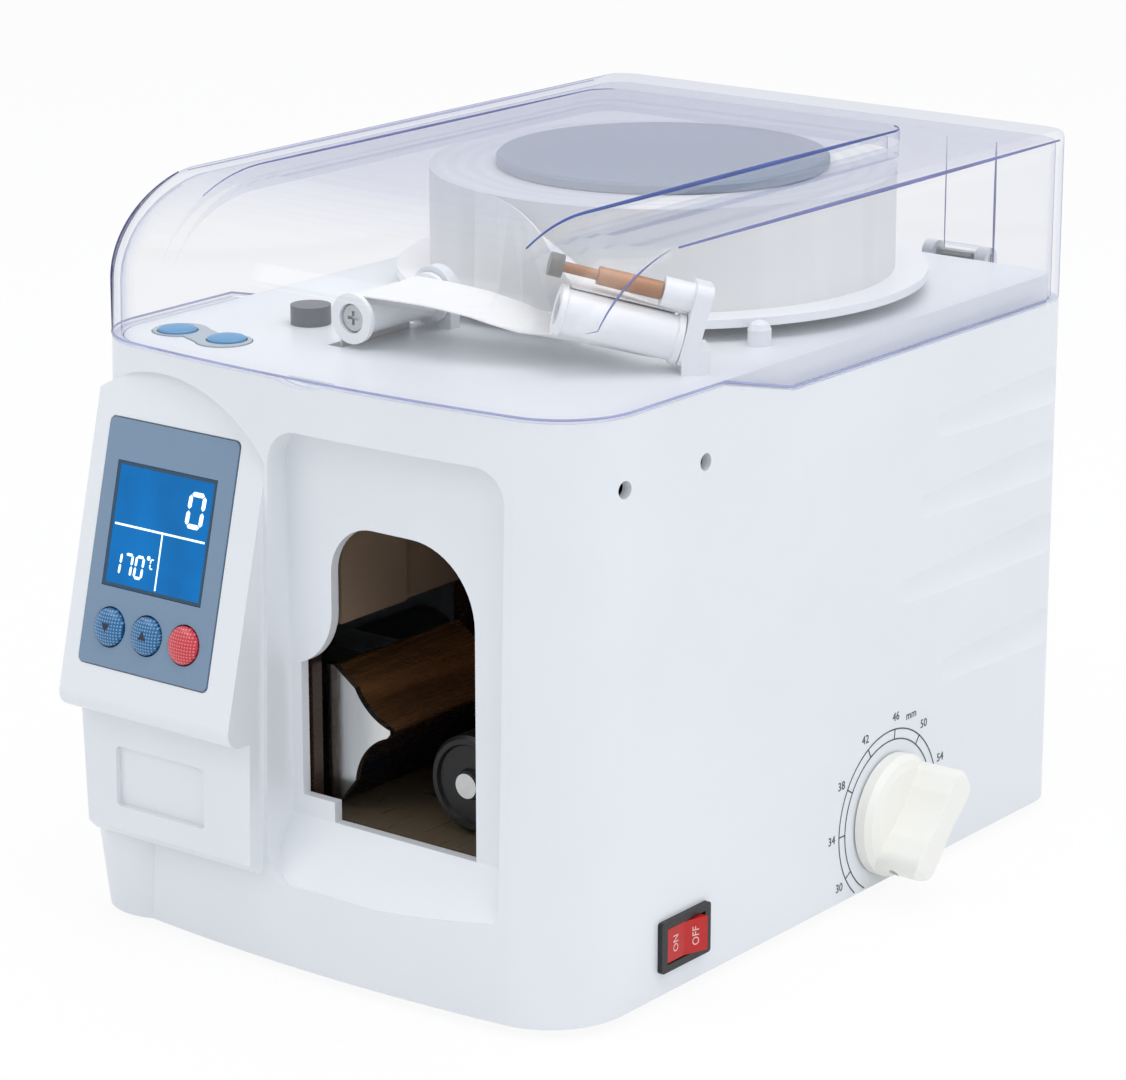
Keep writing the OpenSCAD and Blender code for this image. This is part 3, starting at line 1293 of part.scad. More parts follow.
module power_inlet() place() color(dark) difference() {
    union() {
        along_y(rear_y, rear_y + 1.8)
            rounded(inlet_x - 24, inlet_z - 11.2, inlet_x + 24, inlet_z + 11.2, 4);
        along_y(rear_y - 16, rear_y + fine)
            rounded(inlet_x - 13.4, inlet_z - 9.6, inlet_x + 13.4, inlet_z + 9.6, 2.5);
        for (x = [-7, 0, 7]) box(inlet_x + x - 0.4, rear_y - 23, inlet_z - 3, inlet_x + x + 0.4, rear_y - 15,
                                 inlet_z + 3);
    }
    along_y(rear_y - 14, rear_y + 3)
        rounded(inlet_x - 12, inlet_z - 8.2, inlet_x + 12, inlet_z + 8.2, 3);
    for (x = [-20, 20]) rod_y(inlet_x + x, inlet_z, rear_y - 4, rear_y + 4, 1.7);
}

module housing_screws() place() color(steel)
    for (x = [-boss_x, boss_x], y = boss_ys) {
        rod_z(x, y, plate_z - 1.8, plate_z, 2.9);
        rod_z(x, y, plate_z - fine, plate_z + 14, 1.5);
    }

housing();
base_plate();
feet();
foot_screws();
top_deck();
control_panel();
display_window();
display_board();
button_down();
button_up();
button_clear();
deck_keypad();
deck_key_left();
deck_key_right();
deck_thumbscrew();
cover();
hinge_pins();
reel_spindle();
reel_tray();
tape_roll();
reel_cap();
left_roller();
roller_studs();
roller_bracket();
right_roller();
guide_pin();
guide_bush();
guide_cap();
tape_lead();
switch_frame();
switch_rocker();
position_knob();
knob_shaft();
knob_bush();
stop_rack();
stop_plate();
left_frame();
right_frame();
frame_fittings();
throat_floor();
strap_guide();
anvil_wheel();
press_jaw();
press_bar();
press_rack();
press_guide();
press_motor();
press_pinion();
feed_roller();
pinch_roller();
feed_motor();
feed_pinion();
feed_bracket();
heater_block();
cutter_blade();
seal_solenoid();
control_board();
power_inlet();
transformer();
housing_screws();
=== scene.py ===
"""Banknote strapping machine: the finish and fine detail of the machine on its fixed frame.

Every length inside the classes is in millimetres in the frame's own axes: x to the right side
with the knob, y to the rear, z up. Meshes are written in metres.
"""

from __future__ import annotations

import json
import logging
import math
from dataclasses import dataclass, field
from enum import Enum

import bpy
import numpy as np
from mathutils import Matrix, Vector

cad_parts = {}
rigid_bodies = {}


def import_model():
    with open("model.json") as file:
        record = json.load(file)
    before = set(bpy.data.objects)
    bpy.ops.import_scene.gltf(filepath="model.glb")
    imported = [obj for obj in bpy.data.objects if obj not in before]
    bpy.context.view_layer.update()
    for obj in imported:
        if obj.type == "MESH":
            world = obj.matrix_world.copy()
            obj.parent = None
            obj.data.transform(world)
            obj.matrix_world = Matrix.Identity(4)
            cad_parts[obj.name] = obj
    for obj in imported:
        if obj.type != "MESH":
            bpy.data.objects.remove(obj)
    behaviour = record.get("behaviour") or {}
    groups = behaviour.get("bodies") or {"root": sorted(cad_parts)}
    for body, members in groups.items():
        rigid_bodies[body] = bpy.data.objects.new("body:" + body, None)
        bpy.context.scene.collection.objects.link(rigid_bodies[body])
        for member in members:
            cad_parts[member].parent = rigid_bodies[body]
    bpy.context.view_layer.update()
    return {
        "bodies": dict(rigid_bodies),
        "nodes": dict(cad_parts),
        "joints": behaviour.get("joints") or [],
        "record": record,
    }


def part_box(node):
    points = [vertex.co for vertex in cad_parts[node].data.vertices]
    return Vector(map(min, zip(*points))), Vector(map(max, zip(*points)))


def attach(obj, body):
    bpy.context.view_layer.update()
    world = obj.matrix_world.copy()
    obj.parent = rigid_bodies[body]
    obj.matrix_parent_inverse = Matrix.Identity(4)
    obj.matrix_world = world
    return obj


LOG = logging.getLogger("strapping_machine")
MM = 0.001
RIGHTWARD = np.array([1.0, 0.0, 0.0])
REARWARD = np.array([0.0, 1.0, 0.0])
UPWARD = np.array([0.0, 0.0, 1.0])

# Most of a noise or a wave lies between these values, so they take the ends of a colour ramp.
NOISE_LOW, NOISE_HIGH = 0.3, 0.7
# Width of the finest grain in metres.
FINE = 0.0006
# A wave texture of scale 1 repeats after this length in metres.
WAVE_UNIT = 0.31
# In millimetres: height of printing above its surface, height of its underside, and height of the
# underside of letters and figures, which may lie over a line.
PRINT = 0.08
LIFT = 0.02
LETTER_LIFT = 0.03

Colour = tuple[float, float, float]
Faces = list[tuple[int, ...]]
Part = tuple[np.ndarray, Faces]


class DialMark(Enum):
    """The dial's numbers with the angle of each tick, from the rear towards the top, in degrees."""

    MM_30 = (30, 211.5)
    MM_34 = (34, 179.6)
    MM_38 = (38, 147.8)
    MM_42 = (42, 116.0)
    MM_46 = (46, 84.0)
    MM_50 = (50, 52.0)
    MM_54 = (54, 20.0)


def linear(rgb: tuple[int, int, int]) -> Colour:
    """Turn a screen colour into the linear colour that shaders take.

    Args:
        rgb: Red, green and blue from 0 to 255.

    Returns:
        The three linear values.
    """
    c = np.asarray(rgb, float) / 255.0
    out = np.where(c <= 0.04045, c / 12.92, ((c + 0.055) / 1.055) ** 2.4)
    return (float(out[0]), float(out[1]), float(out[2]))


# ---------------------------------------------------------------------------------------------
# Finishes


@dataclass(frozen=True)
class Finish:
    """A surface finish that builds its own node material once.

    Attributes:
        name: Name of the material.
        colour: Base colour, linear.
        roughness: Mean roughness.
    """

    name: str
    colour: Colour
    roughness: float = 0.4

    def material(self) -> bpy.types.Material:
        """Return the material, building it on first use."""
        label = self.name + "_finish"
        found = bpy.data.materials.get(label)
        if found is not None:
            return found
        mat = bpy.data.materials.new(label)
        mat.use_nodes = True
        mat.node_tree.nodes.clear()
        self.build(Shader(mat.node_tree))
        return mat

    def build(self, shader: "Shader") -> None:
        """Lay out the nodes: an even colour and gloss, until a finish says otherwise."""
        shader.output(shader.principled(self.colour, self.roughness))


@dataclass
class Shader:
    """Small helper that adds and links shader nodes.

    Attributes:
        tree: The node tree that is being filled.
    """

    tree: bpy.types.NodeTree

    def node(self, kind: str, **values: object) -> bpy.types.Node:
        """Add a node and set its sockets or settings by name.

        Args:
            kind: Node type without its ShaderNode prefix.
            values: Socket values, with spaces written as underscores, or node settings.

        Returns:
            The new node.
        """
        node = self.tree.nodes.new("ShaderNode" + kind)
        for key, value in values.items():
            socket = node.inputs.get(key.replace("_", " "))
            if socket is not None:
                socket.default_value = value
            else:
                setattr(node, key, value)
        return node

    def link(self, start: bpy.types.NodeSocket, end: bpy.types.NodeSocket) -> None:
        """Join two sockets."""
        self.tree.links.new(start, end)

    def principled(self, colour: Colour, roughness: float, **values: object) -> bpy.types.Node:
        """Add a Principled shader with a base colour, a roughness and other socket values."""
        return self.node("BsdfPrincipled", Base_Color=(*colour, 1.0), Roughness=roughness, **values)

    def feed(self, socket: bpy.types.NodeSocket, value: object) -> None:
        """Link a socket to another one, or set it to a value."""
        if isinstance(value, bpy.types.NodeSocket):
            self.link(value, socket)
        else:
            socket.default_value = value

    def reckon(self, operation: str, *values: object) -> bpy.types.NodeSocket:
        """Work out one operation on numbers or sockets."""
        node = self.node("Math", operation=operation)
        for socket, value in zip(node.inputs, values):
            self.feed(socket, value)
        return node.outputs["Value"]

    def mixed(self, share: object, first: bpy.types.Node, second: bpy.types.Node) -> bpy.types.Node:
        """Mix two shaders by the second one's share, a number or a socket."""
        mix = self.node("MixShader")
        self.feed(mix.inputs["Fac"], share)
        self.link(first.outputs[0], mix.inputs[1])
        self.link(second.outputs[0], mix.inputs[2])
        return mix

    def seen(self) -> bpy.types.NodeSocket:
        """Return 1 for rays from the camera, from gloss and through clear matter, else 0."""
        path = self.node("LightPath")
        both = self.reckon("MAXIMUM", path.outputs["Is Transmission Ray"], path.outputs["Is Glossy Ray"])
        return self.reckon("MAXIMUM", path.outputs["Is Camera Ray"], both)

    def output(self, node: bpy.types.Node, kind: str = "Material") -> None:
        """Link a shader to the surface of the material or world."""
        out = self.node("Output" + kind)
        self.link(node.outputs[0], out.inputs["Surface"])

    def surface(self, body: bpy.types.Node, colour: bpy.types.NodeSocket,
                roughness: bpy.types.NodeSocket | None = None,
                normal: bpy.types.NodeSocket | None = None) -> None:
        """Give a Principled shader its pattern and link it to the material's surface.

        Args:
            body: The Principled shader.
            colour: Pattern of the base colour.
            roughness: Pattern of the roughness, or None for an even one.
            normal: Bumped normal, or None for a smooth surface.
        """
        for name, socket in (("Base Color", colour), ("Roughness", roughness), ("Normal", normal)):
            if socket is not None:
                self.link(socket, body.inputs[name])
        self.output(body)

    def position(self, scale: tuple[float, float, float] = (1.0, 1.0, 1.0)) -> bpy.types.NodeSocket:
        """Return object coordinates, stretched by scale."""
        coords = self.node("TexCoord")
        mapping = self.node("Mapping", Scale=scale)
        self.link(coords.outputs["Object"], mapping.inputs["Vector"])
        return mapping.outputs["Vector"]

    def noise(self, size: float, detail: float = 3.0,
              stretch: tuple[float, float, float] = (1.0, 1.0, 1.0)) -> bpy.types.NodeSocket:
        """Return a noise value whose grains are about size metres across.

        Args:
            size: Width of a grain in metres.
            detail: Octaves of finer noise.
            stretch: Scale of the coordinates along each axis.

        Returns:
            The factor socket of the noise.
        """
        tex = self.node("TexNoise", Scale=1.0 / size, Detail=detail, Roughness=0.55)
        self.link(self.position(stretch), tex.inputs["Vector"])
        return tex.outputs["Fac"]

    def spread(self, value: bpy.types.NodeSocket, low: float, high: float) -> bpy.types.NodeSocket:
        """Map a noise onto low to high."""
        ramp = self.node("MapRange", From_Min=NOISE_LOW, From_Max=NOISE_HIGH, To_Min=low, To_Max=high)
        self.link(value, ramp.inputs["Value"])
        return ramp.outputs["Result"]

    def tint(self, value: bpy.types.NodeSocket, low: Colour, high: Colour) -> bpy.types.NodeSocket:
        """Blend between two colours by a noise."""
        ramp = self.node("ValToRGB")
        stops = ramp.color_ramp.elements
        for stop, place, colour in zip(stops, (NOISE_LOW, NOISE_HIGH), (low, high)):
            stop.position, stop.color = place, (*colour, 1.0)
        self.link(value, ramp.inputs["Fac"])
        return ramp.outputs["Color"]

    def bump(self, value: bpy.types.NodeSocket, depth: float, strength: float = 0.5
             ) -> bpy.types.NodeSocket:
        """Turn a 0 to 1 height into a bumped normal, depth in metres."""
        node = self.node("Bump", Strength=strength, Distance=depth)
        self.link(value, node.inputs["Height"])
        return node.outputs["Normal"]


def shade(colour: Colour, factor: float) -> Colour:
    """Return a colour made darker or lighter by a factor."""
    return (colour[0] * factor, colour[1] * factor, colour[2] * factor)


@dataclass(frozen=True)
class Moulded(Finish):
    """Injection-moulded plastic: a fine grain, faint cloudiness and a soft gloss.

    Attributes:
        grain: Width of a grain of the moulded texture in metres.
        depth: Depth of the grain in metres.
        cloud: How far the colour drifts, as a share.
        patch: Width of a cloud of the colour in metres.
        coat: Weight of the glossy skin.
    """

    grain: float = 0.0009
    depth: float = 0.00002
    cloud: float = 0.02
    patch: float = 0.06
    coat: float = 0.0

    def build(self, shader: Shader) -> None:
        """Lay out the nodes: clouds in the colour, grain in the gloss and the bump."""
        body = shader.principled(self.colour, self.roughness, Specular_IOR_Level=0.45,
                                 Coat_Weight=self.coat, Coat_Roughness=0.12)
        drift = shader.noise(self.patch, 2.0)
        fine = shader.noise(self.grain, 2.0)
        shader.surface(body,
                       shader.tint(drift, shade(self.colour, 1.0 - self.cloud),
                                   shade(self.colour, 1.0 + self.cloud / 2)),
                       shader.spread(fine, self.roughness * 0.9, self.roughness * 1.12),
                       shader.bump(fine, self.depth, 0.6))


@dataclass(frozen=True)
class SheetMetal(Finish):
    """Brushed, rolled or plated metal with streaks along one axis.

    Attributes:
        streak: Stretch of the coordinates, small along the streaks.
        patch: Width of a patch of the colour in metres.
        depth: Depth of the streaks in metres.
        metallic: Share of metal.
        blotch: How far the colour drifts, as a share.
    """

    streak: tuple[float, float, float] = (1.0, 0.04, 1.0)
    patch: float = 0.018
    depth: float = 0.00001
    metallic: float = 1.0
    blotch: float = 0.12

    def build(self, shader: Shader) -> None:
        """Lay out the nodes: broad patches in the colour, fine streaks in the gloss and the bump."""
        body = shader.principled(self.colour, self.roughness, Metallic=self.metallic)
        broad = shader.noise(self.patch, 3.0, self.streak)
        lines = shader.noise(FINE, 2.0, self.streak)
        shader.surface(body, shader.tint(broad, shade(self.colour, 1.0 - self.blotch), self.colour),
                       shader.spread(lines, self.roughness * 0.75, self.roughness * 1.3),
                       shader.bump(lines, self.depth))


@dataclass(frozen=True)
class Oiled(Finish):
    """Browned and oiled steel: amber streaks along the bar above, and painted shade, blue-black, towards its
    foot where the bar's underside lies in shadow.

    Attributes:
        foot: Colour of the painted shade on the lower part.
        low: Height where the foot's colour is full, in metres.
        high: Height where it has faded out, in metres.
        streak: Stretch of the coordinates, small along the bar.
        band: Width of an amber streak in metres.
        depth: Depth of the streaks in metres.
    """

    # Painted shade: the blue-black that stands in for the shadow under the bar.
    foot: Colour = (0.010, 0.014, 0.026)
    low: float = 0.056
    high: float = 0.078
    streak: tuple[float, float, float] = (1.0, 0.05, 1.0)
    band: float = 0.006
    depth: float = 0.00001

    def build(self, shader: Shader) -> None:
        """Lay out the nodes: bands of noise stretched along y, darkened by painted shade towards the foot.
        """
        body = shader.principled(self.colour, self.roughness, Metallic=0.6)
        bands = shader.tint(shader.noise(self.band, 3.0, self.streak), shade(self.colour, 0.22),
                            self.colour)
        split = shader.node("SeparateXYZ")
        shader.link(shader.position(), split.inputs["Vector"])
        # Painted shade: below low the bar takes the blue-black foot colour, fading out by high.
        height = shader.node("MapRange", interpolation_type="SMOOTHSTEP", From_Min=self.low,
                             From_Max=self.high)
        shader.link(split.outputs["Z"], height.inputs["Value"])
        mix = shader.node("Mix", data_type="RGBA")
        share, below, above = (mix.inputs[i] for i in (0, 6, 7))
        shader.link(height.outputs["Result"], share)
        below.default_value = (*self.foot, 1.0)
        shader.link(bands, above)
        fine = shader.noise(FINE, 2.0, self.streak)
        shader.surface(body, mix.outputs[2],
                       shader.spread(fine, self.roughness * 0.7, self.roughness * 1.4),
                       shader.bump(fine, self.depth))


@dataclass(frozen=True)
class WoundPaper(Finish):
    """A wound paper roll: rings round its upright axis.

    Attributes:
        centre: Centre of the roll in metres, x and y.
        ring: Width of one visible ring in metres.
        depth: Depth of the rings in metres.
    """

    centre: tuple[float, float] = (0.0, 0.0)
    ring: float = 0.005655
    depth: float = 0.00006

    def build(self, shader: Shader) -> None:
        """Lay out the nodes: rings follow the distance from the roll's axis."""
        body = shader.principled(self.colour, self.roughness, Specular_IOR_Level=0.3,
                                 Sheen_Weight=0.1)
        coords = shader.node("TexCoord")
        mapping = shader.node("Mapping", Location=(-self.centre[0], -self.centre[1], 0.0),
                              Scale=(1.0, 1.0, 0.0))
        shader.link(coords.outputs["Object"], mapping.inputs["Vector"])
        rings = shader.node("TexWave", wave_type="RINGS", rings_direction="SPHERICAL",
                            Scale=WAVE_UNIT / self.ring, Distortion=1.2, Detail=2.0, Detail_Scale=1.5)
        shader.link(mapping.outputs["Vector"], rings.inputs["Vector"])
        shader.surface(body, shader.tint(rings.outputs["Fac"], shade(self.colour, 0.93), self.colour),
                       normal=shader.bump(rings.outputs["Fac"], self.depth))


@dataclass(frozen=True)
class Rubber(Finish):
    """Dull moulded rubber.

    Attributes:
        depth: Depth of the grain in metres.
    """

    depth: float = 0.00005

    def build(self, shader: Shader) -> None:
        """Lay out the nodes: fine grain in the colour and the bump."""
        body = shader.principled(self.colour, self.roughness, Specular_IOR_Level=0.3)
        fine = shader.noise(FINE)
        shader.surface(body, shader.tint(fine, self.colour, shade(self.colour, 1.8)),
                       normal=shader.bump(fine, self.depth, 0.7))


@dataclass(frozen=True)
class ClearSheet(Finish):
    """Clear acrylic: nearly colourless face on, lavender at a grazing view, deep at its edges.

    Attributes:
        slant: Colour seen through at a grazing view.
        edge: Colour of the sheet seen edge on.
        stops: Turn from face on, 0, to edge on, 1, where the three colours are full.
        haze: Share of milky scatter.
        milk: Colour of the milky scatter.
        gloss: Least share of gloss, and how much it gains edge on.
        power: How late the gloss grows.
        ripple: Width and depth in metres of the waves that the gloss shows.
    """

    slant: Colour = (0.90, 0.915, 0.97)
    edge: Colour = (0.30, 0.33, 0.58)
    stops: tuple[float, float, float] = (0.42, 0.80, 0.97)
    haze: float = 0.015
    milk: Colour = (0.86, 0.88, 0.94)
    gloss: tuple[float, float] = (0.02, 0.5)
    power: float = 4.0
    ripple: tuple[float, float] = (0.03, 0.00005)

    def build(self, shader: Shader) -> None:
        """Lay out the nodes: a film whose tint grows with the slant, and gloss that grows faster."""
        facing = shader.node("LayerWeight", Blend=0.5).outputs["Facing"]
        ramp = shader.node("ValToRGB")
        stops = ramp.color_ramp.elements
        stops[0].position, stops[0].color = self.stops[0], (*self.colour, 1.0)
        stops[1].position, stops[1].color = self.stops[2], (*self.edge, 1.0)
        stops.new(self.stops[1]).color = (*self.slant, 1.0)
        shader.link(facing, ramp.inputs["Fac"])
        film = shader.node("BsdfTransparent")
        shader.link(ramp.outputs["Color"], film.inputs["Color"])
        milk = shader.principled(self.milk, self.roughness, Specular_IOR_Level=0.6)
        shine = shader.node("BsdfGlossy", Roughness=self.roughness)
        width, depth = self.ripple
        shader.link(shader.bump(shader.noise(width, 2.0), depth), shine.inputs["Normal"])
        least, gain = self.gloss
        share = shader.reckon("MULTIPLY_ADD", shader.reckon("POWER", facing, self.power), gain, least)
        shader.output(shader.mixed(share, shader.mixed(self.haze, film, milk), shine))


@dataclass(frozen=True)
class EdgeLine(Finish):
    """Painted light caught in a fold of the clear sheet: reflection and refraction drawn as a translucent
    coloured line.

    Attributes:
        cover: Share of the line that hides what lies behind.
        film: Colour of the rest, which lets light through.
    """

    cover: float = 0.75
    film: Colour = (0.75, 0.77, 0.90)

    def build(self, shader: Shader) -> None:
        """Lay out the nodes: a glossy tinted body over a tinted film, uneven along the fold."""
        body = shader.principled(self.colour, self.roughness, Specular_IOR_Level=0.5)
        uneven = shader.noise(0.02, 2.0)
        shader.link(shader.tint(uneven, self.colour, shade(self.colour, 1.35)),
                    body.inputs["Base Color"])
        film = shader.node("BsdfTransparent", Color=(*self.film, 1.0))
        shader.output(shader.mixed(self.cover, film, body))


@dataclass(frozen=True)
class Lit(Finish):
    """A backlit surface: its own colour shining a little.

    Attributes:
        glow: Strength of the light it gives off.
    """

    glow: float = 0.5

    def build(self, shader: Shader) -> None:
        """Lay out the nodes: the colour and its light are slightly uneven, as a backlight is."""
        body = shader.principled(self.colour, self.roughness, Emission_Strength=self.glow,
                                 Specular_IOR_Level=0.15)
        cloud = shader.noise(0.012, 1.0)
        colour = shader.tint(cloud, shade(self.colour, 0.86), shade(self.colour, 1.08))
        shader.link(colour, body.inputs["Emission Color"])
        shader.surface(body, colour)


@dataclass(frozen=True)
class Dotted(Finish):
    """Plastic with a fine woven dot pattern under a glossy skin, as on printed caps.

    Attributes:
        pitch: Distance between dots in metres.
        depth: Height of the dots in metres.
        bright: Colour of the dots.
    """

    pitch: float = 0.0009
    depth: float = 0.00004
    bright: Colour = (0.4, 0.6, 0.8)

    def build(self, shader: Shader) -> None:
        """Lay out the nodes: crossed waves make the dots, their product sets the colour."""
        body = shader.principled(self.colour, self.roughness, Coat_Weight=0.6, Coat_Roughness=0.08)
        waves = []
        for axis in ("X", "Z"):
            wave = shader.node("TexWave", wave_type="BANDS", bands_direction=axis,
                               Scale=WAVE_UNIT / self.pitch, Distortion=0.0)
            shader.link(shader.position(), wave.inputs["Vector"])
            waves.append(wave.outputs["Fac"])
        dots = shader.reckon("MULTIPLY", *waves)
        shader.surface(body, shader.tint(dots, self.colour, self.bright),
                       normal=shader.bump(dots, self.depth))


@dataclass(frozen=True)
class Ink(Finish):
    """Printed ink, a touch uneven."""

    def build(self, shader: Shader) -> None:
        """Lay out the nodes: fine grain in the colour."""
        shader.surface(shader.principled(self.colour, self.roughness),
                       shader.tint(shader.noise(0.0008), shade(self.colour, 0.85), shade(self.colour, 1.15)))


WHITE_SHELL = Moulded("white_shell", (0.82, 0.845, 0.875), 0.36, coat=0.1)
WHITE_PART = Moulded("white_part", (0.90, 0.905, 0.92), 0.3, coat=0.2, grain=0.0006)
WARM_WHITE = Moulded("warm_white", (0.93, 0.92, 0.86), 0.32, coat=0.2, grain=0.0006)
GEAR_WHITE = Moulded("gear_white", (0.72, 0.70, 0.62), 0.38, grain=0.0005)
BLACK_PLASTIC = Moulded("black_plastic", (0.012, 0.013, 0.016), 0.4)
DARK_GREY = Moulded("dark_grey", linear((104, 106, 112)), 0.42)
KEYPAD_FILM = Moulded("keypad_film", linear((178, 190, 198)), 0.5, grain=0.0004)
REEL_CAP = Moulded("reel_cap_grey", linear((132, 146, 164)), 0.42, cloud=0.05)
PIN_CAP = Moulded("pin_cap_grey", linear((118, 116, 110)), 0.36)
PLATE_PAINT = Moulded("plate_blue_grey", linear((122, 146, 170)), 0.42, grain=0.0005, depth=0.00001)
BROWN_GUIDE = Moulded("guide_brown", linear((138, 118, 100)), 0.22, coat=0.5, cloud=0.3)
ROCKER_RED = Moulded("rocker_red", linear((190, 24, 22)), 0.4)
CIRCUIT = Moulded("circuit_green", linear((20, 84, 48)), 0.35)
FOOT_RUBBER = Rubber("foot_rubber", (0.012, 0.012, 0.013), 0.75)
ZINC = SheetMetal("zinc_steel", (0.56, 0.57, 0.58), 0.34)
BRIGHT = SheetMetal("bright_steel", (0.62, 0.63, 0.63), 0.2, streak=(1.0, 1.0, 0.08), blotch=0.06)
BRONZE = SheetMetal("bronze", (0.52, 0.36, 0.16), 0.38)
COPPER = SheetMetal("copper_pin", linear((176, 124, 86)), 0.42, metallic=0.4, blotch=0.25)
TAN_SHEET = SheetMetal("tan_plate", linear((142, 122, 100)), 0.4, metallic=0.3, blotch=0.3)
CREAM_SHEET = SheetMetal("floor_cream", linear((122, 108, 88)), 0.35, metallic=0.3, blotch=0.3)
BLACK_SHEET = SheetMetal("black_plate", (0.034, 0.029, 0.024), 0.28, metallic=0.4, blotch=0.4)
# The press bar's finish paints shade on the bar towards its foot.
PRESS_BROWN = Oiled("press_brown", linear((186, 132, 84)), 0.24)
FRAME_BROWN = SheetMetal("frame_brown", linear((66, 48, 38)), 0.3, metallic=0.45, blotch=0.4)
WHEEL_BLACK = Rubber("wheel_black", (0.006, 0.006, 0.007), 0.35)
MOTOR_GREY = SheetMetal("motor_grey", (0.10, 0.105, 0.115), 0.42, metallic=0.6)
COIL = SheetMetal("coil_bronze", (0.20, 0.12, 0.05), 0.4, metallic=0.5)
CLEAR = ClearSheet("clear_cover", (0.985, 0.985, 0.99), 0.06)
# Painted light: colours of the reflection and refraction lines drawn along the clear cover's folds and rim.
LIGHT_LINE_BLUE = EdgeLine("cover_light_line_blue", linear((58, 80, 150)), 0.15, cover=0.85)
LIGHT_LINE_VIOLET = EdgeLine("cover_light_line_violet", linear((112, 116, 168)), 0.15, cover=0.7)
LIGHT_LINE_NAVY = EdgeLine("cover_light_line_navy", linear((40, 48, 104)), 0.15, cover=0.85)
LIGHT_LINE_PALE = EdgeLine("cover_light_line_pale", linear((176, 180, 212)), 0.15, cover=0.55)
DISPLAY = Lit("display_blue", linear((2, 104, 172)), 0.3, glow=0.25)
SEGMENT = Lit("display_segment", linear((225, 248, 250)), 0.2, glow=0.9)
BEZEL = Ink("display_edge", linear((34, 66, 84)), 0.3)
BLUE_CAP = Dotted("button_blue", linear((8, 84, 140)), 0.3, bright=linear((96, 176, 216)))
RED_CAP = Dotted("button_red", linear((196, 26, 44)), 0.3, bright=linear((236, 122, 132)))
DECK_KEY = Moulded("key_blue", linear((84, 150, 198)), 0.4, grain=0.0004)
INK = Ink("print_grey", linear((58, 62, 70)), 0.5)
INK_DARK = Ink("print_dark", linear((20, 30, 50)), 0.4)
INK_PALE = Ink("print_pale", linear((236, 196, 190)), 0.5)


# ---------------------------------------------------------------------------------------------
# Surfaces worked out on grids


def tube_faces(rows: int, cols: int) -> Faces:
    """List the faces of a tube of points numbered ring by ring, with both ends closed.

    Args:
        rows: Number of rings.
        cols: Number of points in a ring.

    Returns:
        The quads of the sides and one face for each end.
    """
    first = np.arange(rows - 1)[:, None] * cols
    step = np.arange(cols)[None, :]
    a, b = first + step, first + (step + 1) % cols
    sides = np.stack([a, b, b + cols, a + cols], axis=-1).reshape(-1, 4)
    return [*map(tuple, sides), tuple(range(cols - 1, -1, -1)),
            tuple(range((rows - 1) * cols, rows * cols))]


def new_object(name: str, data: bpy.types.ID) -> bpy.types.Object:
    """Make an object of a mesh, letters, a lamp or a camera, and put it in the scene."""
    obj = bpy.data.objects.new(name, data)
    bpy.context.scene.collection.objects.link(obj)
    return obj


def piece(name: str, parts: list[Part], finish: Finish, body: str, smooth: bool = False
          ) -> None:
    """Make one mesh piece of parts in millimetres.

    Args:
        name: Name of the piece.
        parts: Points and faces of each part.
        finish: Finish of the piece.
        body: Body that the piece rides on.
        smooth: True for smooth shading.
    """
    points, faces = joined(parts)
    mesh = bpy.data.meshes.new(name)
    mesh.from_pydata((points * MM).tolist(), [], [tuple(map(int, face)) for face in faces])
    mesh.validate()
    if smooth:
        mesh.shade_smooth()
    obj = new_object(name, mesh)
    obj.data.materials.append(finish.material())
    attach(obj, body)
    LOG.info("made %s on %s with %d faces", name, body, len(mesh.polygons))


def sweep(path: np.ndarray, across: np.ndarray, up: np.ndarray, profile: np.ndarray) -> Part:
    """Carry a closed profile along a path: each point is path + across * u + up * v.

    Args:
        path: Points of the path, one row each.
        across: Direction of the profile's first coordinate at each path point.
        up: Direction of its second coordinate at each path point.
        profile: Rows of u and v, in order round the profile.

    Returns:
        The points and the faces, with both ends closed.
    """
    pts = (path[:, None, :] + across[:, None, :] * profile[None, :, 0, None]
           + up[:, None, :] * profile[None, :, 1, None]).reshape(-1, 3)
    return pts, tube_faces(len(path), len(profile))


def ring_profile(radius: float, count: int = 10) -> np.ndarray:
    """Return a circle of count points as a sweep profile."""
    a = np.linspace(0.0, 2.0 * math.pi, count, endpoint=False)
    return np.stack([radius * np.cos(a), radius * np.sin(a)], axis=1)


def rod(path: np.ndarray, radius: float, fade: float = 1.0) -> Part:
    """Sweep a round rod along a smooth path, its sides set square to the path.

    Args:
        path: Points of the path.
        radius: Radius of the rod at its thickest, in the middle of its length.
        fade: Share of the radius left at both ends; the radius swells between as a half sine.

    Returns:
        Points and faces.
    """
    tangent = np.gradient(path, axis=0)
    tangent /= np.linalg.norm(tangent, axis=1)[:, None]
    steep = 0.8
    helper = UPWARD if abs(tangent[0][2]) < steep else REARWARD
    across = np.cross(tangent, helper)
    across /= np.linalg.norm(across, axis=1)[:, None]
    up = np.cross(across, tangent)
    run = np.concatenate([[0.0], np.cumsum(np.linalg.norm(np.diff(path, axis=0), axis=1))])
    swell = fade + (1.0 - fade) * np.sin(math.pi * run / run[-1])
    return sweep(path, across * swell[:, None], up * swell[:, None], ring_profile(radius))


def revolve(profile: np.ndarray, centre: np.ndarray, frame: np.ndarray, count: int) -> Part:
    """Turn a profile of radius and height round an axis: centre + radius * turning ray + height * axis.

    Args:
        profile: Rows of radius and height.
        centre: Foot of the axis.
        frame: Rows are the two cross directions and the axis direction.
        count: Number of steps round the axis.

    Returns:
        Points and faces.
    """
    a = np.linspace(0.0, 2.0 * math.pi, count, endpoint=False)[:, None]
    ray = np.cos(a) * frame[0] + np.sin(a) * frame[1]
    radius, height = profile[:, 0, None, None], profile[:, 1, None, None]
    pts = (centre + radius * ray + height * frame[2]).reshape(-1, 3)
    return pts, tube_faces(len(profile), count)


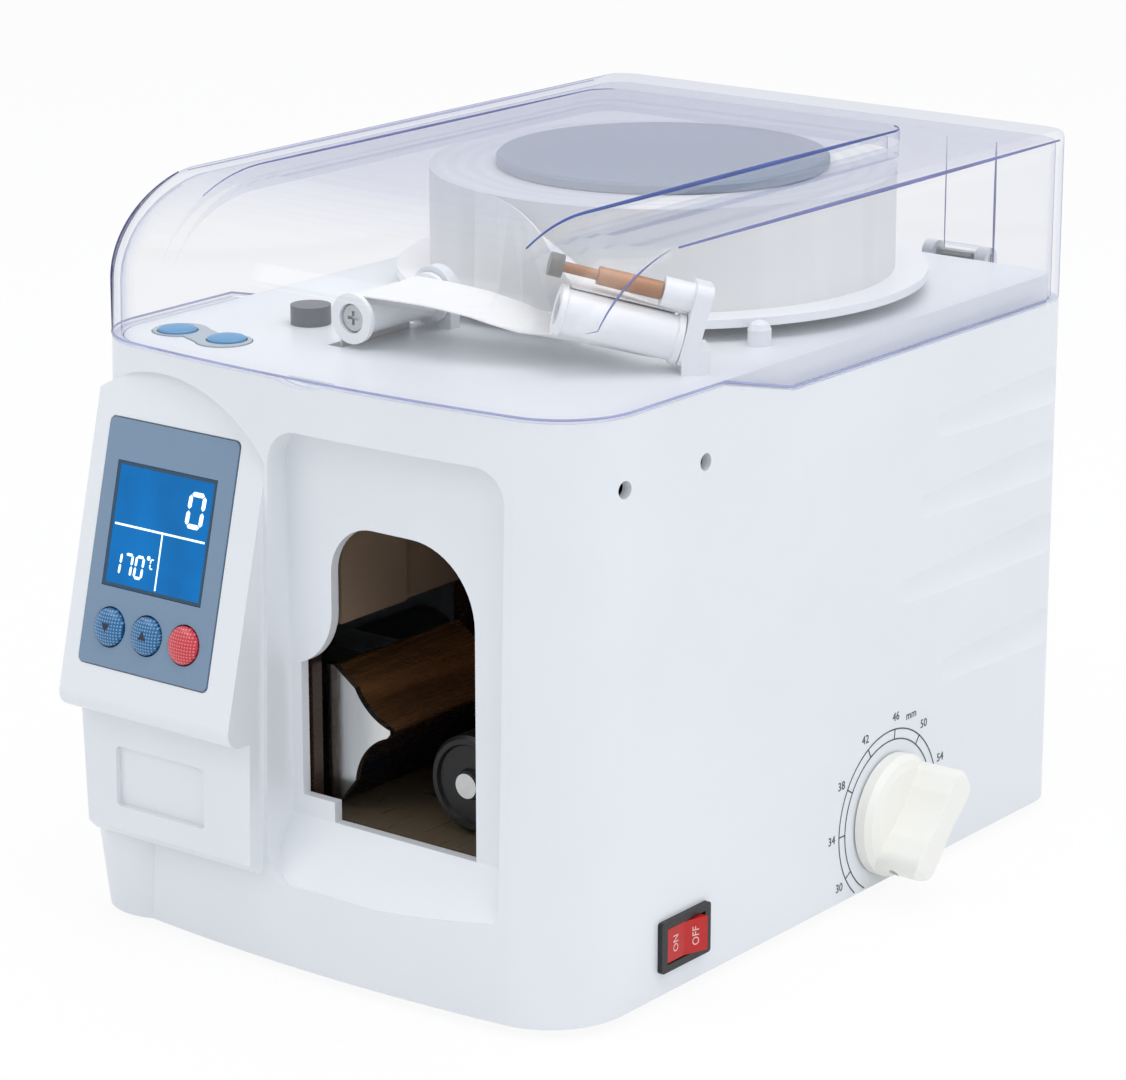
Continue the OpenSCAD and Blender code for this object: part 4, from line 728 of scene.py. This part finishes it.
def slab(outline: np.ndarray, origin: np.ndarray, right: np.ndarray, up: np.ndarray, low: float,
         high: float) -> Part:
    """Stand a flat outline up from low to high along the normal of its plane.

    Args:
        outline: Rows of two coordinates, anticlockwise.
        origin: Where the outline's zero lies.
        right: Direction of the first coordinate.
        up: Direction of the second coordinate.
        low: Height of the underside.
        high: Height of the top.

    Returns:
        Points and faces.
    """
    normal = np.cross(right, up)
    flat = origin + outline[:, 0, None] * right + outline[:, 1, None] * up
    return np.concatenate([flat + normal * low, flat + normal * high]), tube_faces(2, len(outline))


def joined(parts: list[Part]) -> Part:
    """Put several sets of points and faces into one."""
    pts, faces, base = [], [], 0
    for p, f in parts:
        pts.append(p)
        faces += [tuple(int(i) + base for i in face) for face in f]
        base += len(p)
    return np.concatenate(pts), faces


def lettering(words: str, height: float) -> Part:
    """Make flat letters with a little thickness, centred on zero.

    Args:
        words: The letters or digits.
        height: Height of a digit in millimetres.

    Returns:
        Points in millimetres, with z as the thickness from 0 to that of printing, and faces.
    """
    half, digit = 0.01, 0.7
    curve = bpy.data.curves.new("letters", "FONT")
    curve.body = words
    curve.align_x = "CENTER"
    curve.align_y = "CENTER"
    curve.extrude = half
    curve.resolution_u = 3
    holder = new_object("letters", curve)
    mesh = bpy.data.meshes.new_from_object(holder)
    pts = np.empty(len(mesh.vertices) * 3)
    mesh.vertices.foreach_get("co", pts)
    pts = pts.reshape(-1, 3)
    faces = [tuple(p.vertices) for p in mesh.polygons]
    bpy.data.objects.remove(holder)
    bpy.data.curves.remove(curve)
    bpy.data.meshes.remove(mesh)
    pts[:, :2] *= height / digit
    pts[:, 2] = (pts[:, 2] + half) / (2 * half) * PRINT
    return pts, faces


def laid(part: Part, origin: np.ndarray, right: np.ndarray, up: np.ndarray) -> Part:
    """Place flat points on a plane: x goes along right, y along up and z along the normal."""
    pts, faces = part
    return origin + pts @ np.array([right, up, np.cross(right, up)]), faces


# ---------------------------------------------------------------------------------------------
# Sub-assemblies


def node_box(node: str) -> tuple[np.ndarray, np.ndarray]:
    """Return a node's lowest and highest corner in millimetres."""
    lo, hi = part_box(node)
    return np.array(lo) / MM, np.array(hi) / MM


def dress(frame: dict, finish: Finish, *nodes: str) -> None:
    """Give nodes of the frame a finish.

    Args:
        frame: The loaded frame.
        finish: The finish.
        nodes: Names of the nodes.
    """
    for name in nodes:
        obj = frame["nodes"][name]
        if not obj.material_slots:
            obj.data.materials.append(finish.material())
        for slot in obj.material_slots:
            slot.material = finish.material()


@dataclass
class Carcass:
    """Housing, deck, frames and the inner drives: they keep their own shapes and get finishes.

    Attributes:
        finishes: The nodes that each finish goes on.
    """

    finishes: dict[Finish, tuple[str, ...]] = field(default_factory=lambda: {
        WHITE_SHELL: ("housing", "top_deck"),
        WHITE_PART: ("left_roller", "right_roller", "roller_bracket", "reel_tray"),
        WARM_WHITE: ("position_knob",),
        GEAR_WHITE: ("stop_rack", "press_rack"),
        ZINC: ("base_plate", "foot_screws", "hinge_pins", "reel_spindle", "roller_studs",
               "knob_shaft", "frame_fittings", "press_guide", "feed_bracket", "housing_screws"),
        BRIGHT: ("press_jaw", "press_pinion", "pinch_roller", "feed_pinion", "cutter_blade"),
        FRAME_BROWN: ("left_frame",),
        FOOT_RUBBER: ("feet", "feed_roller"),
        WHEEL_BLACK: ("anvil_wheel",),
        PLATE_PAINT: ("control_panel",),
        DISPLAY: ("display_window",),
        CIRCUIT: ("display_board", "control_board"),
        BLUE_CAP: ("button_down", "button_up"),
        RED_CAP: ("button_clear",),
        KEYPAD_FILM: ("deck_keypad",),
        DECK_KEY: ("deck_key_left", "deck_key_right"),
        DARK_GREY: ("deck_thumbscrew",),
        PIN_CAP: ("guide_cap",),
        CLEAR: ("cover",),
        REEL_CAP: ("reel_cap",),
        COPPER: ("guide_pin", "guide_bush"),
        BLACK_PLASTIC: ("switch_frame", "power_inlet"),
        ROCKER_RED: ("switch_rocker",),
        BRONZE: ("knob_bush", "heater_block"),
        TAN_SHEET: ("stop_plate",),
        CREAM_SHEET: ("throat_floor",),
        BLACK_SHEET: ("right_frame",),
        BROWN_GUIDE: ("strap_guide",),
        PRESS_BROWN: ("press_bar",),
        MOTOR_GREY: ("press_motor", "feed_motor", "transformer"),
        COIL: ("seal_solenoid",),
    })

    def finish(self, frame: dict) -> None:
        """Put each finish on its nodes."""
        for finish, nodes in self.finishes.items():
            dress(frame, finish, *nodes)


@dataclass
class Dial:
    """The printed scale round the position knob.

    Attributes:
        outer: Radius of the outer line.
        inner: Radius of the inner line.
        numbers: Radius of the numbers.
        start: Angle where the lines start, from the rear towards the top.
        line: Width of a printed line.
        size: Height of a digit.
        sink: How far the print's middle lies below the knob's.
        gap: Height above the housing's lower edge where the lines end.
        unit: Angle of the unit and how much further out it stands than the numbers.
    """

    outer: float = 26.2
    inner: float = 23.1
    numbers: float = 30.0
    start: float = 20.0
    line: float = 0.38
    size: float = 2.6
    sink: float = 0.6
    gap: float = 0.8
    unit: tuple[float, float] = (68.0, 0.6)

    def middle(self) -> np.ndarray:
        """Return the middle of the dial on the housing's side."""
        lo, hi = node_box("position_knob")
        side = node_box("housing")[1][0]
        return np.array([side + LIFT, (lo[1] + hi[1]) / 2, (lo[2] + hi[2]) / 2 - self.sink])

    def ray(self, angle: float | np.ndarray) -> np.ndarray:
        """Return the direction of an angle in degrees, or one row for each angle."""
        a = np.radians(angle)[..., None]
        return np.cos(a) * REARWARD + np.sin(a) * UPWARD

    def arc(self, radius: float, end: float) -> Part:
        """Draw one line of the scale: a thin band round the middle from start to end."""
        out = self.ray(np.linspace(self.start, end, 90))
        normal = np.repeat(RIGHTWARD[None], len(out), axis=0)
        w = self.line / 2
        band = np.array([[-w, 0.0], [w, 0.0], [w, PRINT], [-w, PRINT]])
        return sweep(self.middle() + radius * out, out, normal, band)

    def tick(self, angle: float) -> Part:
        """Draw one tick between the two lines."""
        out = self.ray(angle)
        w = self.line / 2
        box = np.array([[self.inner, -w], [self.outer, -w], [self.outer, w], [self.inner, w]])
        return slab(box, self.middle(), out, np.cross(RIGHTWARD, out), 0.0, PRINT)

    def number(self, words: str, angle: float, further: float = 0.0) -> Part:
        """Print a number or the unit upright at an angle of the scale."""
        at = self.middle() + (self.numbers + further) * self.ray(angle)
        return laid(lettering(words, self.size), at, REARWARD, UPWARD)

    def build(self) -> None:
        """Make the whole print as one piece; its lines end just above the housing's lower edge."""
        room = self.middle()[2] - node_box("housing")[0][2] - self.gap
        parts = [self.arc(r, 180.0 + math.degrees(math.asin(room / r))) for r in (self.outer, self.inner)]
        for mark in DialMark:
            number, angle = mark.value
            parts.append(self.tick(angle))
            parts.append(self.number(str(number), angle))
        parts.append(self.number("mm", *self.unit))
        piece("dial_print", parts, INK, "chassis")


@dataclass
class ControlFace:
    """Printing on the control plate and the display's figures.

    Attributes:
        lean: Lean of the plate in degrees.
        width: Width of the display window.
        height: Height of the display window along the slope.
        edge: Width of the dark border.
        tuck: How far the window reaches under the plate's edge.
        glass: Thickness of the window.
    """

    lean: float = 13.8
    width: float = 38.0
    height: float = 36.0
    edge: float = 1.1
    tuck: float = 0.2
    glass: float = 3.1

    def up(self) -> np.ndarray:
        """Return the direction up the plate."""
        lean = math.radians(self.lean)
        return np.array([0.0, math.sin(lean), math.cos(lean)])

    def corner(self) -> np.ndarray:
        """Return the window's lower left corner: its front lower edge is the node's lowest y."""
        lo, _ = node_box("display_window")
        up = self.up()
        depth = self.glass * abs(np.cross(RIGHTWARD, up)[2])
        return lo + np.array([0.0, 0.0, depth]) - self.tuck * (RIGHTWARD + up)

    def bar(self, u0: float, v0: float, u1: float, v1: float) -> Part:
        """Draw a rectangle on the window, u and v from its lower left corner."""
        box = np.array([[u0, v0], [u1, v0], [u1, v1], [u0, v1]])
        return slab(box, self.corner(), RIGHTWARD, self.up(), LIFT, PRINT)

    def digit(self, lit: str, u: float, v: float, w: float, h: float, t: float) -> list[Part]:
        """Draw a slanted seven-segment digit whose segments have pointed ends.

        Args:
            lit: Letters a to f of the segments that show.
            u: Left edge.
            v: Lower edge.
            w: Width.
            h: Height.
            t: Width of a segment.

        Returns:
            One part for each lit segment.
        """
        gap, slant = t * 0.18, 0.06
        half, middle = t / 2, h / 2
        left, right, low, high = half, w - half, half, h - half
        runs = {
            "a": ((left, high), (right, high)), "b": ((right, middle), (right, high)),
            "c": ((right, low), (right, middle)), "d": ((left, low), (right, low)),
            "e": ((left, low), (left, middle)), "f": ((left, middle), (left, high)),
        }
        parts = []
        for name in lit:
            p, q = (np.array(end) for end in runs[name])
            along = (q - p) / np.linalg.norm(q - p)
            side = np.array([-along[1], along[0]]) * half
            p, q, along = p + along * gap, q - along * gap, along * half
            ring = np.array([p, p + along - side, q - along - side, q, q - along + side, p + along + side])
            ring += np.stack([u + ring[:, 1] * slant, np.full(len(ring), v)], axis=1)
            parts.append(slab(ring, self.corner(), RIGHTWARD, self.up(), LETTER_LIFT, PRINT))
        return parts

    def figures(self) -> None:
        """Draw the counter, the temperature and the dividing lines, placed as shares of the window."""
        w, h = self.width, self.height
        parts = self.digit("abcdef", w * 0.73, h * 0.585, w * 0.17, h * 0.29, 1.35)
        for i, lit in enumerate(("bc", "abc", "abcdef")):
            parts += self.digit(lit, w * (0.07 + 0.112 * i), h * 0.10, w * 0.092, h * 0.19, 0.8)
        parts += self.digit("adef", w * 0.445, h * 0.20, w * 0.042, h * 0.085, 0.42)
        parts.append(self.bar(w * 0.05, h * 0.492, w * 0.95, h * 0.508))
        parts.append(self.bar(w * 0.525, h * 0.045, w * 0.538, h * 0.49))
        frame = np.array([RIGHTWARD, self.up(), np.cross(RIGHTWARD, self.up())])
        degree = np.array([w * 0.43, h * 0.285, LETTER_LIFT])
        ring = np.array([[0.35, 0.0], [0.62, 0.0], [0.62, 0.05], [0.35, 0.05]])
        parts.append(revolve(ring, self.corner() + degree @ frame, frame, 16))
        piece("display_figures", parts, SEGMENT, "chassis")

    def border(self) -> None:
        """Draw the dark border round the window as four bars."""
        inset = 0.25
        w, h, e = self.width - inset, self.height - inset, self.edge
        parts = [self.bar(inset, inset, w, e), self.bar(inset, h - e + inset, w, h),
                 self.bar(inset, e, e, h - e + inset), self.bar(w - e + inset, e, w, h - e + inset)]
        piece("display_border", parts, BEZEL, "chassis")

    def arrow(self, node: str, body: str, way: float) -> None:
        """Print a small triangle on a button's cap.

        Args:
            node: The button.
            body: The body that it rides on.
            way: 1 for a triangle that points up, -1 for one that points down.
        """
        lo, hi = node_box(node)
        out = np.cross(RIGHTWARD, self.up())
        mesh = bpy.data.objects[node].data
        points = np.empty(len(mesh.vertices) * 3)
        mesh.vertices.foreach_get("co", points)
        centre = (lo + hi) / 2
        face = float((points.reshape(-1, 3) / MM @ out).max())
        at = centre + out * (face - float(centre @ out))
        ring = np.array([[-1.5, -1.1 * way], [1.5, -1.1 * way], [0.0, 1.4 * way]])[::int(way)]
        part = slab(ring, at, RIGHTWARD, self.up(), -LIFT, PRINT / 2)
        piece(node + "_arrow", [part], INK_DARK, body)

    def build(self) -> None:
        """Make every printed piece of the control plate."""
        self.border()
        self.figures()
        self.arrow("button_down", "down_key", -1.0)
        self.arrow("button_up", "up_key", 1.0)


@dataclass
class SwitchPrint:
    """ON and OFF on the two halves of the rocker, read with the head turned.

    Attributes:
        tilt: Tilt of the rocker at rest in degrees.
        size: Height of a letter.
        pivot_back: Distance of the pivot behind the side of the housing.
        waist: Distance from the pivot to the rocker's face at its middle.
        end: Distance out and along to the rocker's face at its ends.
    """

    tilt: float = 9.0
    size: float = 2.3
    pivot_back: float = 3.0
    waist: float = 4.3
    end: tuple[float, float] = (5.6, 7.9)

    def build(self) -> None:
        """Make the two words as one piece."""
        lo, hi = node_box("switch_frame")
        side = node_box("housing")[1][0]
        pivot = np.array([side - self.pivot_back, (lo[1] + hi[1]) / 2, (lo[2] + hi[2]) / 2])
        a = -math.radians(self.tilt)
        turn = np.array([[math.cos(a), -math.sin(a), 0.0], [math.sin(a), math.cos(a), 0.0],
                         [0.0, 0.0, 1.0]])
        out, along = self.end
        ends = {"ON": ((out, -along), (self.waist, 0.0)), "OFF": ((self.waist, 0.0), (out, along))}
        parts = []
        for words, (p, q) in ends.items():
            p, q = np.array([*p, 0.0]), np.array([*q, 0.0])
            up = -turn @ ((q - p) / np.linalg.norm(q - p))
            middle = pivot + turn @ ((p + q) / 2)
            at = middle + np.cross(UPWARD, up) * LETTER_LIFT
            parts.append(laid(lettering(words, self.size), at, UPWARD, up))
        piece("switch_words", parts, INK_PALE, "rocker")


@dataclass
class CoverEdges:
    """Painted light: the blue lines of reflection and refraction that the clear cover shows along its folds
    and its rim, drawn as thin tinted rods.

    The cover's plan is a bowed front between two round corners. Going up, the front rolls back
    into the top: at roll angle a the plan lies depth * (1 - cos a) further back at height
    top - rise + rise * sin a, and it leans a little with height all the way.

    Attributes:
        half: Half width of the cover.
        fold: Radius of its side folds.
        corner: Radius of the front corners in plan.
        corner_x: Distance of their centres from the middle.
        bow: Radius of the bowed front.
        lean: Backward lean of the front in degrees.
        seam: Height of the rim in front.
        drop: How far the rim lies lower along the rear of the sides.
        shoulder: Height of the shoulders, with the rise and the depth of their roll.
        panel: Height of the raised panel, with the rise and the depth of its roll.
        panel_half: Half width of the raised panel.
        panel_end: Distance from the front of the bow to the rear end of the panel.
        panel_corner: Radius of the panel's rear corners in plan.
        inset: How far the panel's line lies inside its edge.
        foot: Height where the right corner's line ends.
        steps: Distances from the front of the bow where the rim starts, drops between and ends.
        rear_folds: Distances of the rear wall's folds from the middle.
        rear_gap: Distance of those folds from the housing's back.
    """

    half: float = 90.0
    fold: float = 6.0
    corner: float = 24.0
    corner_x: float = 66.0
    bow: float = 600.0
    lean: float = 1.7
    seam: float = 172.6
    drop: float = 8.0
    shoulder: tuple[float, float, float] = (215.0, 27.0, 40.0)
    panel: tuple[float, float, float] = (219.0, 31.0, 44.3)
    panel_half: float = 58.0
    panel_end: float = 215.0
    panel_corner: float = 10.0
    inset: float = 0.25
    foot: float = 196.0
    steps: tuple[float, float, float, float] = (56.0, 74.0, 107.8, 242.0)
    rear_folds: tuple[float, float] = (57.0, 39.0)
    rear_gap: float = 2.9

    @property
    def slope(self) -> float:
        """Return how far back the front goes for each millimetre of height."""
        return math.tan(math.radians(self.lean))

    def origin(self) -> tuple[float, float]:
        """Return the cover's middle in x and the front of its bow at floor height in y."""
        lo, hi = node_box("cover")
        return (lo[0] + hi[0]) / 2, lo[1] - self.slope * self.seam

    def plan(self, x: np.ndarray) -> np.ndarray:
        """Return how far behind the front of the bow the plan lies, at x from the middle."""
        turn = math.asin(self.corner_x / (self.bow - self.corner))
        reach = self.bow * math.sin(turn)
        centre_y = self.bow - (self.bow - self.corner) * math.cos(turn)
        bow = self.bow - np.sqrt(self.bow ** 2 - np.minimum(np.abs(x), reach) ** 2)
        inside = np.clip(np.abs(x) - self.corner_x, 0.0, self.corner)
        round_y = centre_y - np.sqrt(self.corner ** 2 - inside ** 2)
        return np.where(np.abs(x) <= reach, bow, round_y)

    def on_roll(self, x: np.ndarray, a: np.ndarray, form: tuple[float, float, float]) -> np.ndarray:
        """Return points of a rolled front.

        Args:
            x: Distance from the middle, one value a point.
            a: Roll angle in radians, 0 at the upright front and a quarter turn at the top.
            form: Height of the top, rise and depth of the roll.

        Returns:
            One row for each point.
        """
        top, rise, depth = form
        x0, y0 = self.origin()
        z = top - rise + rise * np.sin(a)
        y = y0 + self.plan(x) + depth * (1.0 - np.cos(a)) + self.slope * z
        return np.stack([x0 + x, y, z], axis=1)

    def panel_line(self, side: float) -> np.ndarray:
        """Follow one edge of the raised panel from its rear round corner down to the shoulder."""
        x0, y0 = self.origin()
        top, rise, _ = self.panel
        inner, round_r = self.panel_half - self.inset, self.panel_corner
        sunk = 1.5
        last = math.asin((self.shoulder[0] - sunk - (top - rise)) / rise)
        roll = self.on_roll(np.full(18, side * inner), np.linspace(last, math.pi / 2, 18), self.panel)
        end = y0 + self.panel_end - round_r
        run = np.linspace(roll[-1][1], end, 26)[1:]
        flat = np.stack([np.full_like(run, x0 + side * inner), run, np.full_like(run, top)], axis=1)
        a = np.linspace(0.0, math.pi / 3, 9)[1:]
        turn = np.stack([x0 + side * (inner - round_r + round_r * np.cos(a)),
                         end + (round_r - 0.3) * np.sin(a), np.full_like(a, top)], axis=1)
        return np.concatenate([roll, flat, turn])

    def fold_line(self) -> tuple[float, float]:
        """Return the distance from the middle, and the dip below the top, of the shoulder's fold."""
        dip = self.fold * (1.0 - math.sqrt(0.5))
        return self.half - dip, dip

    def crest_line(self, side: float) -> np.ndarray:
        """Follow a shoulder's fold from the rear to the front corner."""
        x0, _ = self.origin()
        top, rise, _ = self.shoulder
        x, dip = self.fold_line()
        rear_short, front_short = 18.0, 4.0
        start = self.on_roll(np.array([x]), np.array([math.asin((rise - dip) / rise)]), self.shoulder)
        y = np.linspace(node_box("cover")[1][1] - rear_short, start[0][1] + front_short, 50)
        return np.stack([np.full_like(y, x0 + side * x), y, np.full_like(y, top - dip)], axis=1)

    def corner_line(self, side: float, foot: float) -> np.ndarray:
        """Follow a front corner from the end of the shoulder's fold down to a height."""
        x0, _ = self.origin()
        _, rise, _ = self.shoulder
        x_side, dip = self.fold_line()
        turn, quicken = math.radians(52.0), 1.2
        x_foot = self.corner_x + self.corner * math.sin(turn)
        t = np.linspace(0.0, 1.0, 26)
        x = x_side + (x_foot - x_side) * t
        roll = math.asin((rise - dip) / rise) * (1.0 - t) ** quicken
        corner = self.on_roll(x, roll, self.shoulder)
        corner[:, 0] = x0 + side * x
        down = foot - corner[-1][2]
        drop = corner[-1] + np.linspace(0.0, 1.0, 8)[1:, None] * np.array([0.0, self.slope * down, down])
        path = np.concatenate([corner, drop])
        return path[path[:, 2] >= foot - 0.01]

    def rim_line(self) -> np.ndarray:
        """Follow the rim round the front, and on each side down its step to the rear."""
        x0, y0 = self.origin()
        z = self.seam + 0.5
        low = z - self.drop
        shy = 0.9995
        x = self.half * np.sin(np.linspace(-math.pi / 2, math.pi / 2, 150)) * shy
        front = np.stack([x0 + x, y0 + self.plan(x) + self.slope * z, np.full_like(x, z)], axis=1)
        begin, high, foot, end = self.steps
        bend = 0.4
        stations = np.array([[begin, z], [high - bend, z], [high + bend, z], [foot - bend, low],
                             [foot + bend, low], [end, low]])
        left, right = (np.stack([np.full(len(stations), x0 + side * self.half), y0 + stations[:, 0],
                                 stations[:, 1]], axis=1) for side in (-1.0, 1.0))
        return np.concatenate([left[::-1], front, right])

    def rear_line(self, x: float) -> np.ndarray:
        """Follow an upright fold of the rear wall as seen through the side."""
        x0, _ = self.origin()
        back = node_box("housing")[1][1] - self.rear_gap
        below, above = 2.0, 8.0
        z = np.linspace(self.seam - self.drop + below, self.shoulder[0] - above, 12)
        return np.stack([np.full_like(z, x0 + x), np.full_like(z, back), z], axis=1)

    def build(self) -> None:
        """Make the painted light lines of the folds, the panel, the rear wall and the rim."""
        near, far = self.rear_folds
        runs = {
            "cover_panel_line_right": (LIGHT_LINE_BLUE, [rod(self.panel_line(1.0), 0.72, 0.35)]),
            "cover_panel_line_left": (LIGHT_LINE_VIOLET, [rod(self.panel_line(-1.0), 0.4, 0.3)]),
            "cover_crest_line_right": (LIGHT_LINE_VIOLET, [rod(self.crest_line(1.0), 0.6, 0.5),
                                                     rod(self.corner_line(1.0, self.foot), 0.34, 0.2)]),
            "cover_crest_line_left": (LIGHT_LINE_PALE, [rod(self.crest_line(-1.0), 0.35, 0.5)]),
            "cover_corner_line_left": (LIGHT_LINE_NAVY, [rod(self.corner_line(-1.0, self.seam), 0.62, 0.4)]),
            "cover_rear_lines": (LIGHT_LINE_VIOLET, [rod(self.rear_line(near), 0.4, 0.5),
                                               rod(self.rear_line(far), 0.2, 0.5)]),
            "cover_rim_line": (LIGHT_LINE_PALE, [rod(self.rim_line(), 0.34)]),
        }
        for name, (finish, parts) in runs.items():
            piece(name, parts, finish, "cover_body", smooth=True)


@dataclass
class TapeRoll:
    """Rings on the wound tape and a plain paper finish for its lead.

    Attributes:
        roll: Colour of the roll's paper.
        lead: Colour of the lead's paper.
    """

    roll: Colour = (0.86, 0.86, 0.85)
    lead: Colour = (0.88, 0.88, 0.87)

    def build(self, frame: dict) -> None:
        """Put the paper finishes on the roll and on the lead."""
        lo, hi = node_box("tape_roll")
        centre = ((lo[0] + hi[0]) / 2 * MM, (lo[1] + hi[1]) / 2 * MM)
        dress(frame, WoundPaper("roll_paper", self.roll, 0.6, centre=centre), "tape_roll")
        dress(frame, Moulded("lead_paper", self.lead, 0.5, grain=0.0004), "tape_lead")


@dataclass
class Studio:
    """Camera, lamps, floor and background of the photograph.

    Attributes:
        eye: Place of the camera in millimetres.
        azimuth: Direction of view, degrees.
        elevation: Height of view, degrees.
        lens: Focal length for the sensor.
        sensor: Width of the sensor.
        sky: Colour and strength of the light from all round.
        target: Height in metres of the point that the lamps face.
        cloth: Lightness of the floor.
        white: Share of plain white that the floor shows to the camera, beside its shadow.
        reach: Half width of the floor in metres.
    """

    eye: tuple[float, float, float] = (689.3, -916.16, 435.4)
    azimuth: float = 37.62
    elevation: float = 16.22
    lens: float = 128.2
    sensor: float = 36.0
    sky: tuple[Colour, float] = ((0.92, 0.95, 1.0), 0.62)
    target: float = 0.1
    cloth: float = 0.9
    white: float = 0.92
    reach: float = 6.0

    def camera(self) -> None:
        """Set the camera at the photograph's point of view."""
        data = bpy.data.cameras.new("camera")
        data.lens = self.lens
        data.sensor_width = self.sensor
        data.sensor_fit = "HORIZONTAL"
        data.clip_start = 0.05
        data.clip_end = 50.0
        cam = new_object("camera", data)
        cam.location = np.array(self.eye) * MM
        cam.rotation_euler = (math.radians(90.0 - self.elevation), 0.0, math.radians(self.azimuth))
        bpy.context.scene.camera = cam

    def lamp(self, name: str, place: tuple[float, float, float], size: float, power: float,
             colour: Colour = (1.0, 1.0, 1.0)) -> None:
        """Add a square soft lamp that faces the middle of the machine.

        Args:
            name: Name of the lamp.
            place: Where it hangs, in metres.
            size: Width of the lamp in metres.
            power: Power in watts.
            colour: Colour of its light.
        """
        data = bpy.data.lights.new(name, "AREA")
        data.size = size
        data.energy = power
        data.color = colour
        lamp = new_object(name, data)
        aim = UPWARD * self.target - np.array(place)
        aim /= np.linalg.norm(aim)
        lamp.location = place
        lamp.rotation_euler = (math.acos(-aim[2]), 0.0, math.atan2(aim[0], -aim[1]) + math.pi)

    def world(self) -> None:
        """Light the scene evenly, and show white to the camera, to gloss and through glass."""
        world = bpy.data.worlds.new("studio")
        world.use_nodes = True
        world.node_tree.nodes.clear()
        shader = Shader(world.node_tree)
        colour, strength = self.sky
        light = shader.node("Background", Color=(*colour, 1.0), Strength=strength)
        white = shader.node("Background", Color=(1.0, 1.0, 1.0, 1.0), Strength=1.0)
        shader.output(shader.mixed(shader.seen(), light, white), "World")
        bpy.context.scene.world = world

    def floor(self) -> None:
        """Lay a plain pale floor that keeps a soft shadow."""
        mesh = bpy.data.meshes.new("floor")
        s = self.reach
        mesh.from_pydata([(-s, -s, 0.0), (s, -s, 0.0), (s, s, 0.0), (-s, s, 0.0)], [], [(0, 1, 2, 3)])
        floor = new_object("floor", mesh)
        mat = bpy.data.materials.new("floor_white")
        mat.use_nodes = True
        mat.node_tree.nodes.clear()
        shader = Shader(mat.node_tree)
        cloth = shader.node("BsdfDiffuse", Color=(self.cloth, self.cloth, self.cloth, 1.0))
        glow = shader.node("Emission", Strength=1.0)
        shader.output(shader.mixed(shader.reckon("MULTIPLY", shader.seen(), self.white), cloth, glow))
        floor.data.materials.append(mat)

    def build(self) -> None:
        """Set up the whole studio."""
        self.camera()
        self.world()
        self.floor()
        self.lamp("key_lamp", (-0.9, -1.3, 1.5), 1.2, 7.0)
        self.lamp("fill_lamp", (1.6, -0.5, 1.1), 1.4, 6.0, (0.93, 0.96, 1.0))
        self.lamp("top_lamp", (0.3, 0.1, 1.8), 1.5, 15.0)
        bpy.context.scene.view_settings.view_transform = "Standard"


def main() -> None:
    """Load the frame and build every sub-assembly in order."""
    logging.basicConfig(level=logging.INFO, format="%(message)s")
    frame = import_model()
    Carcass().finish(frame)
    TapeRoll().build(frame)
    ControlFace().build()
    Dial().build()
    SwitchPrint().build()
    CoverEdges().build()
    Studio().build()


if __name__ == "__main__":
    main()
